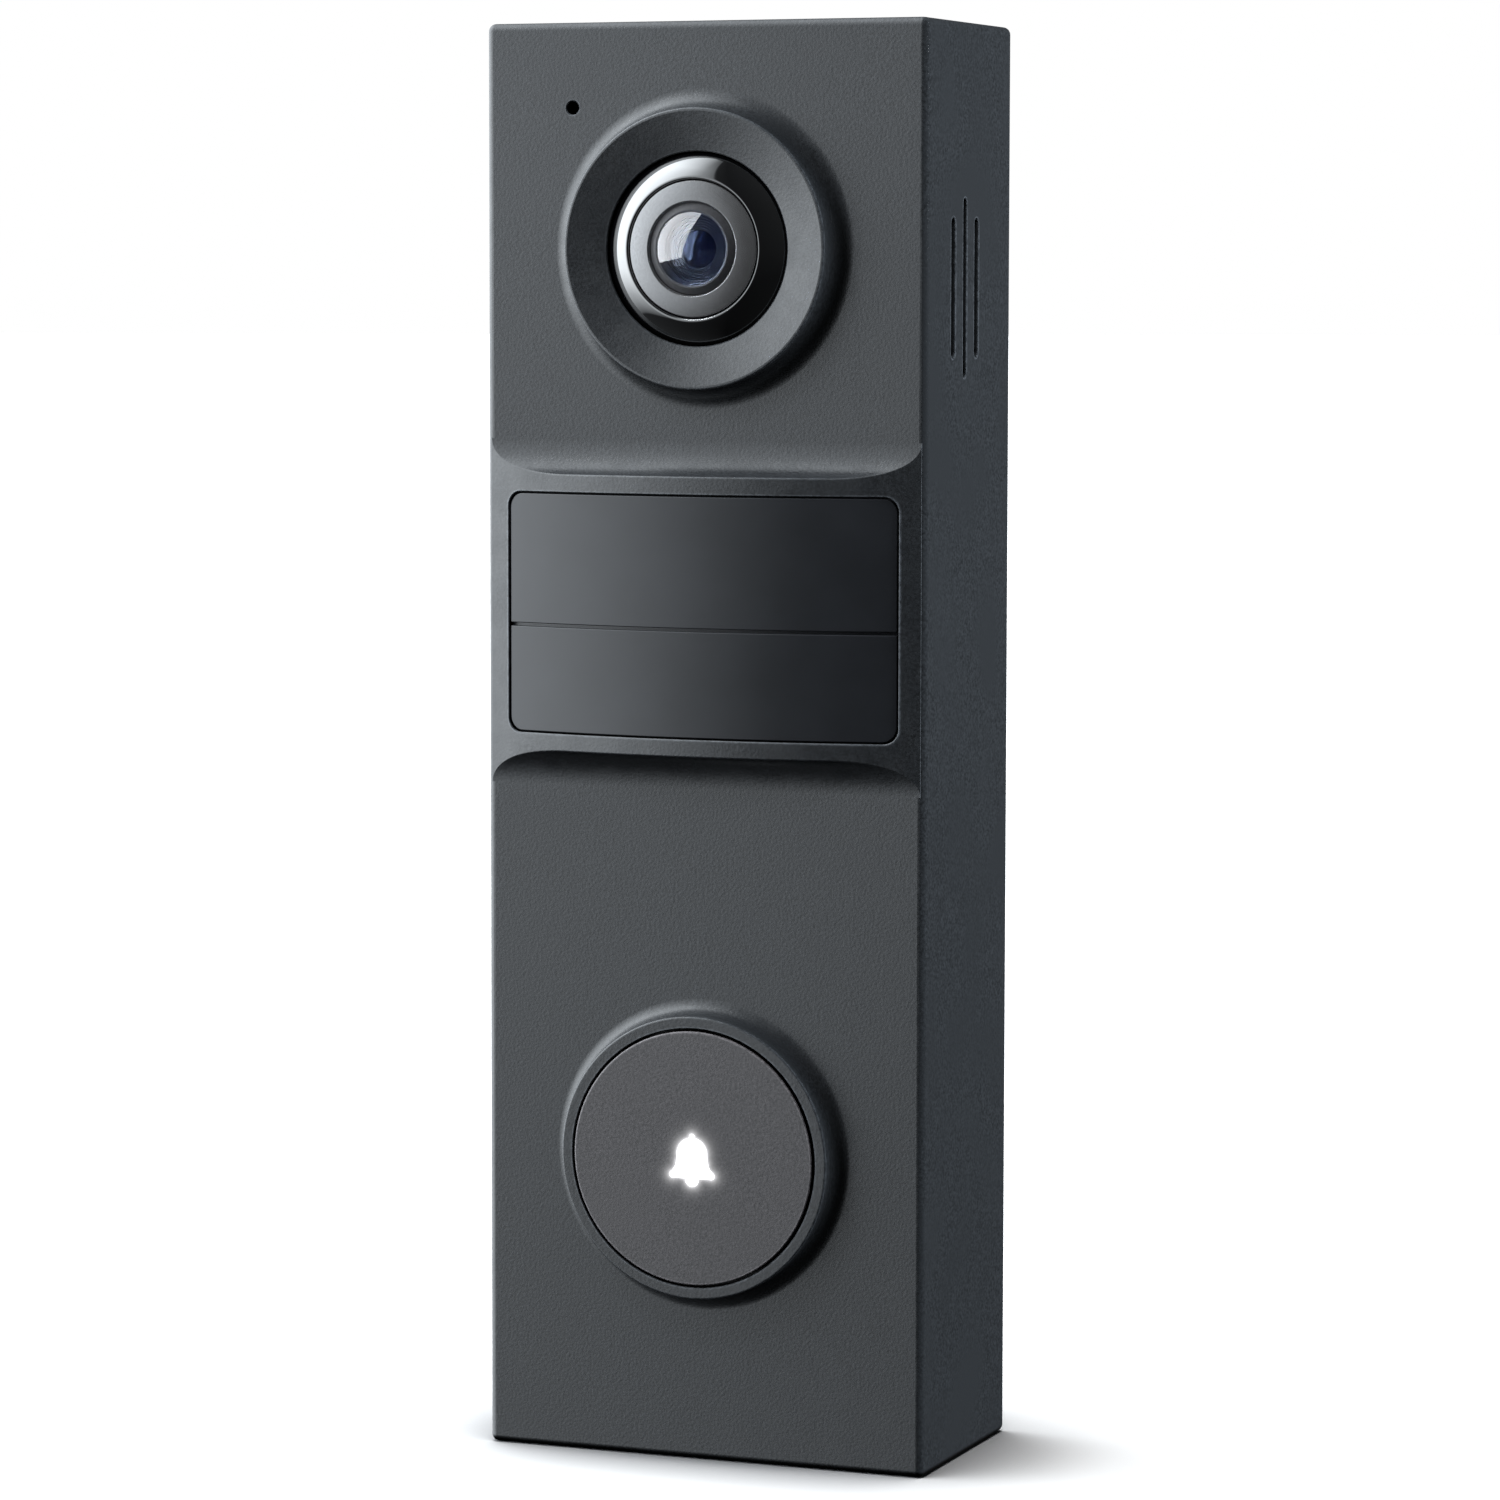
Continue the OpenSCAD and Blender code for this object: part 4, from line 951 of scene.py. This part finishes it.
def make_materials():
    made = {name: grained(name) for name in GRAINED}
    made.update({name: glassy(name) for name in GLASSY})
    made["housing_plastic"] = moulded("housing_plastic", (0.0205, 0.023, 0.0262), 0.36).done()
    made["bracket_plastic"] = moulded("bracket_plastic", (0.035, 0.037, 0.041), 0.52).done()
    made["button_plastic"] = button_material()
    icon = Surface("icon_diffuser", (0.95, 0.96, 1.0), 0.4).drift(0.6, 0.03)
    icon.set(Emission_Color=(1, 1, 1, 1), Emission_Strength=1.6)
    made["icon_diffuser"] = icon.done()
    board = Surface("board_green", (0.012, 0.09, 0.045), 0.35)
    tracks = board.remap(board.cells(1.1, "DISTANCE_TO_EDGE"), 0.06, 0.1, 1, 0)
    made["board_green"] = board.tint(tracks, (0.03, 0.16, 0.08)).bump(tracks, 0.2, 0.03).done(2.0)
    flex = Surface("flex_amber", (0.42, 0.17, 0.02), 0.3)
    stripes = flex.remap(flex.noise(0.8, 1.0, (1, 0.05, 0.05)), 0.45, 0.55, 0, 1)
    made["flex_amber"] = flex.tint(stripes, (0.3, 0.12, 0.02)).bump(stripes, 0.2, 0.02).done()
    mesh = Surface("mesh_black", (0.012, 0.012, 0.013), 0.5)
    weave = mesh.cells(0.35)
    holes = mesh.remap(weave, 0.25, 0.45, 1, 0)
    made["mesh_black"] = mesh.tint(holes, (0.002, 0.002, 0.002)).bump(weave, 0.6, 0.08).done()
    return made


def button_material():
    """Satin plastic of the cap, with a painted glow: its surface emits light round the bell, for
    the light the lit bell spreads around itself.
    """
    surface = moulded("button_plastic", (0.056, 0.0525, 0.056), 0.42)
    split = surface.nodes.new("ShaderNodeSeparateXYZ")
    surface.links.new(surface.place, split.inputs[0])
    x = surface.math("ABSOLUTE", surface.math("MULTIPLY", split.outputs["X"], 1 / MM))
    z = surface.math("SUBTRACT", surface.math("MULTIPLY", split.outputs["Z"], 1 / MM), BUTTON_Z)

    def away(centre_x, centre_z, radius):
        """Distance from a disc."""
        dx = surface.math("SUBTRACT", x, centre_x)
        dz = surface.math("SUBTRACT", z, centre_z)
        squares = surface.math("ADD", surface.math("MULTIPLY", dx, dx),
                               surface.math("MULTIPLY", dz, dz))
        return surface.math("SUBTRACT", surface.math("SQRT", squares), radius)

    nearest = away(0.0, 0.5, 1.7)
    for disc in ((0.8, -0.6, 1.05), (0.0, -2.2, 0.75), (1.75, -1.5, 0.5), (2.2, -1.75, 0.36),
                 (0.9, -1.4, 0.7), (0.0, 2.27, 0.33)):
        nearest = surface.math("SMOOTH_MIN", nearest, away(*disc), 0.3)
    # Painted glow: emission on the cap, fading with distance from the bell.
    glow = surface.math("MULTIPLY", surface.math(
        "EXPONENT", surface.math("MULTIPLY", surface.math("MAXIMUM", nearest, 0.0), -2.6)), 0.6)
    surface.links.new(glow, surface.shader.inputs["Emission Strength"])
    surface.set(Emission_Color=(1, 0.99, 1, 1))
    return surface.done()


# ---------------- assembly


def dress_nodes(materials):
    """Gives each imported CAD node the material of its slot."""
    for part in frame["record"]["subparts"]:
        obj = frame["nodes"][part["node"]]
        obj.data.materials.clear()
        obj.data.materials.append(materials[part["material_slot"]])


def add_piece(obj, name, body, slot, materials, node):
    """Puts a finished piece in place of its CAD node."""
    obj.name = name
    obj.data.name = name
    obj.data.materials.clear()
    obj.data.materials.append(materials[slot])
    for polygon in obj.data.polygons:
        polygon.material_index = 0
    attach(obj, body)
    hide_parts(node)
    "lens_glass" if slot == "inner_glass" else slot


def camera_pieces():
    """Name, body, slot, CAD node and mesh of each turned piece of the camera."""
    lathed = (("camera_surround", "gloss_black", "lens_surround", [crown_profile()]),
              ("camera_bezel", "satin_ring", "lens_bezel", [bezel_profile()]),
              ("camera_barrel", "barrel_black", "lens_barrel", [barrel_profile()]),
              ("camera_front_lens", "lens_glass", "front_lens",
               [lens_profile(3.75, 1.7, 3.4, 0.9, 0.55)]),
              ("camera_inner_lenses", "inner_glass", "inner_lenses",
               [lens_profile(2.95, -0.45, 0.6, 0.5), lens_profile(2.25, -2.9, -2.0, 0.5)]))
    for name, slot, node, profiles in lathed:
        bm = bmesh.new()
        for profile in profiles:
            lathe(bm, profile, 0, CAMERA_Z, 160)
        yield name, "housing", slot, node, finish_mesh(make_object(bm), 25.0)


def assemble():
    """Builds the finished pieces and puts each one in place of its CAD node."""
    materials = make_materials()
    dress_nodes(materials)
    add_piece(housing(), "housing_shell", "housing", "housing_plastic", materials, "front_housing")
    for name, body, slot, node, obj in camera_pieces():
        add_piece(obj, name, body, slot, materials, node)
    lap, sharp = 0.16, 0.12
    upper = curved_pane(WINDOW_SPLIT + WINDOW_GAP, WINDOW_TOP, sharp, WINDOW_CORNER_R, lap_low=lap)
    lower = curved_pane(WINDOW_LOW, WINDOW_SPLIT - WINDOW_GAP, WINDOW_CORNER_R, sharp, lap_top=lap)
    terminals = [(x, TERMINAL_Z) for x in TERMINAL_X]
    pieces = (
        ("window_upper_pane", "housing", "window_black", "pir_window", upper),
        ("window_lower_pane", "housing", "window_black", "ir_window", lower),
        ("button_face", "button", "button_plastic", "button_cap", button_cap()),
        ("button_bell_light", "button", "icon_diffuser", "bell_icon", bell_icon()),
        ("rear_cover", "housing", "housing_plastic", "back_cover", back_cover()),
        ("rubber_port_flap", "port_flap", "seal_rubber", "port_cover", port_flap()),
        ("wall_plate", "bracket", "bracket_plastic", "wall_bracket", wall_bracket()),
        ("rear_cover_screws", "housing", "screw_steel", "cover_screws",
         back_screws(COVER_POSTS, SEAT_Y, 1.1, 8.0, 2.1, 0.85, 0.25)),
        ("chime_terminal_screws", "housing", "terminal_brass", "terminal_screws",
         back_screws(terminals, 22.4, 1.2, 4.4, 2.7, 1.4, 0.35)),
        ("chime_terminal_body", "housing", "chip_black", "terminal_block", terminal_block()),
        ("security_socket_screw", "housing", "screw_steel", "security_screw", security_screw()),
        ("charging_socket", "housing", "tin_steel", "usb_port", usb_socket()),
        ("reset_pin", "reset", "white_plastic", "reset_button", reset_button()))
    for name, body, slot, node, obj in pieces:
        add_piece(obj, name, body, slot, materials, node)


# ---------------- stage, in metres

SOFTBOX, ROOM = 3.4, 0.16
LENS = Vector((0, (FRONT_Y - 3.4) * MM, CAMERA_Z * MM))


def add_camera():
    """The camera at the photograph's angle: a long lens to the right of the doorbell."""
    yaw, pitch, roll = (math.radians(a) for a in (21.755, 4.936, 0.0947))
    place = (0.21277, -0.52006 + FRONT_Y * MM, 0.12335)
    forward = Vector((-math.sin(yaw) * math.cos(pitch), math.cos(yaw) * math.cos(pitch),
                      -math.sin(pitch)))
    right = Vector((math.cos(yaw), math.sin(yaw), 0))
    up = right.cross(forward)
    level_right, level_up = right, up
    right = level_right * math.cos(roll) + level_up * math.sin(roll)
    up = level_up * math.cos(roll) - level_right * math.sin(roll)
    data = bpy.data.cameras.new("camera")
    data.sensor_width = 36
    data.lens = 130.38
    data.clip_start = 0.01
    camera = bpy.data.objects.new("camera", data)
    rotation = Matrix((right, up, -forward)).transposed()
    camera.matrix_world = Matrix.Translation(place) @ rotation.to_4x4()
    bpy.context.scene.collection.objects.link(camera)
    bpy.context.scene.camera = camera


def add_light(name, place, aim, power, size, reach, colour=(1, 1, 1), mirrored=False, shadow=True):
    """A light for the objects in reach: a panel with two sides, or a sun that wide in degrees."""
    is_panel = isinstance(size, tuple)
    data = bpy.data.lights.new(name, "AREA" if is_panel else "SUN")
    data.energy = power
    data.color = colour
    data.use_shadow = shadow
    if is_panel:
        data.shape = "RECTANGLE"
        data.size, data.size_y = size
    else:
        data.angle = math.radians(size)
    light = bpy.data.objects.new(name, data)
    turn = (Vector(aim) - Vector(place)).to_track_quat("-Z", "Y")
    light.matrix_world = Matrix.Translation(place) @ turn.to_matrix().to_4x4()
    light.visible_glossy = mirrored
    bpy.context.scene.collection.objects.link(light)
    group = bpy.data.collections.new(name + "_reach")
    for obj in reach:
        group.objects.link(obj)
    light.light_linking.receiver_collection = group


def add_stage():
    """A pale floor with a painted contact shadow: it is darker where the doorbell stands on it."""
    bm = bmesh.new()
    bmesh.ops.create_circle(bm, cap_ends=True, segments=96, radius=12.0)
    mesh = bpy.data.meshes.new("floor")
    bm.to_mesh(mesh)
    bm.free()
    floor = bpy.data.objects.new("floor", mesh)
    bpy.context.scene.collection.objects.link(floor)
    surface = Surface("floor", (0.9, 0.9, 0.9), 0.9).drift(60.0, 0.01)
    # Painted contact shadow: the floor's colour darkens where the doorbell closes in its view of
    # the room.
    near = surface.nodes.new("ShaderNodeAmbientOcclusion")
    near.inputs["Distance"].default_value = 16 * MM
    surface.tint(surface.remap(near.outputs["AO"], 0.97, 0.5, 0, 0.75), (0.2, 0.2, 0.21))
    mesh.materials.append(surface.done())
    surface.set(Specular_IOR_Level=0.1)
    floor.visible_diffuse = False
    floor.visible_glossy = False
    return floor


class Studio(Graph):
    """White behind the doorbell; for its light and reflections, a dim room with a softbox."""

    def __init__(self):
        world = bpy.data.worlds.new("studio")
        bpy.context.scene.world = world
        world.use_nodes = True
        super().__init__(world.node_tree)
        self.nodes.clear()
        split = self.nodes.new("ShaderNodeSeparateXYZ")
        self.links.new(self.nodes.new("ShaderNodeTexCoord").outputs["Generated"], split.inputs[0])
        across, depth, up = split.outputs
        self.azimuth = self.math("MULTIPLY", self.math(
            "ARCTAN2", across, self.math("MULTIPLY", depth, -1.0)), 180 / math.pi)
        self.elevation = self.math("MULTIPLY", self.math("ARCSINE", up), 180 / math.pi)

    def curve(self, value, limit, stops):
        """A level that follows value, from -limit to limit, through stops of (value, level)."""
        scaled = self.nodes.new("ShaderNodeMapRange")
        self.links.new(value, scaled.inputs["Value"])
        scaled.inputs["From Min"].default_value = -limit
        scaled.inputs["From Max"].default_value = limit
        ramp = self.nodes.new("ShaderNodeValToRGB")
        self.links.new(scaled.outputs["Result"], ramp.inputs["Fac"])
        elements = ramp.color_ramp.elements
        elements.remove(elements[1])
        for k, (at, level) in enumerate(stops):
            place = (at + limit) / (2 * limit)
            element = elements.new(place) if k else elements[0]
            element.position = place
            element.color = (level, level, level, 1)
        return ramp.outputs["Color"]

    def level(self, side, height, strength):
        """Light that follows one curve round the doorbell and another one up."""
        shape = self.math("MULTIPLY", self.curve(self.azimuth, 180, side),
                          self.curve(self.elevation, 90, height))
        return self.math("MULTIPLY", shape, strength)

    def background(self, colour, strength=None):
        node = self.nodes.new("ShaderNodeBackground")
        node.inputs["Color"].default_value = (*colour, 1)
        if strength:
            self.links.new(strength, node.inputs["Strength"])
        return node.outputs[0]


def add_world():
    """The studio: its curves hold (degrees, level), with 0 in front and the left side at -90."""
    studio = Studio()
    softbox = studio.level(
        ((-150, 0.0), (-145, 0.35), (-115, 0.8), (-90, 1.0), (-62, 0.95), (-50, 0.8),
         (-36, 0.55), (-22, 0.2), (-13.5, 0.09), (-12.5, 0.0)),
        ((-32, 0.0), (-31, 0.06), (-20, 0.35), (-8, 0.85), (2, 1.0), (50, 1.0), (75, 0.4),
         (76, 0.0)), SOFTBOX)
    room = studio.level(
        ((-180, 0.5), (-90, 1.0), (-40, 0.5), (0, 0.16), (90, 0.3), (180, 0.5)),
        ((-90, 0.25), (-20, 0.35), (0, 0.6), (60, 1.0)), ROOM)
    mix = studio.nodes.new("ShaderNodeMixShader")
    path = studio.nodes.new("ShaderNodeLightPath")
    output = studio.nodes.new("ShaderNodeOutputWorld")
    lit = studio.background((0.9, 0.955, 1.0), studio.math("ADD", softbox, room))
    studio.links.new(path.outputs["Is Camera Ray"], mix.inputs["Fac"])
    studio.links.new(lit, mix.inputs[1])
    studio.links.new(studio.background((1, 1, 1)), mix.inputs[2])
    studio.links.new(mix.outputs[0], output.inputs["Surface"])


def light_stage():
    """Soft studio light; each light works on a few pieces only."""
    doorbell = [obj for obj in bpy.data.objects if obj.type == "MESH"]
    front, glass, barrel = (
        [bpy.data.objects[name] for name in names] for names in (
            ("housing_shell", "button_face", "window_upper_pane", "window_lower_pane"),
            ("camera_front_lens", "camera_inner_lenses"), ("camera_barrel",)))
    add_light("key", (-0.08, -0.131, 0.24), (0, 0, 0.11), 0.25, (0.05, 0.05), doorbell)
    add_light("right_fill", (0.40, 0.06, 0.22), (0, 0, 0.08), 3.9, (0.12, 0.12), doorbell,
              colour=(0.93, 0.97, 1.0))
    add_light("grazing", (-0.20, -0.0755, 0.30), (0, 0, 0.11), 0.75, (0.05, 0.05), front,
              shadow=False)
    add_light("lens_card", LENS + Vector((-0.411, -0.1915, 0.211)), LENS, 105, (0.8, 0.78), glass,
              colour=(0.93, 0.96, 1.0), mirrored=True)
    add_light("lens_glow", LENS + Vector((-0.06, -0.05, 0.04)), LENS, 0.12, (0.01, 0.01), barrel,
              shadow=False)
    add_light("overhead", (0, 0, 1), (0, 0.02, 0), 3.0, 24, [add_stage()], mirrored=True)


add_camera()
add_world()
assemble()
light_stage()
bpy.context.scene.view_settings.view_transform = "Standard"
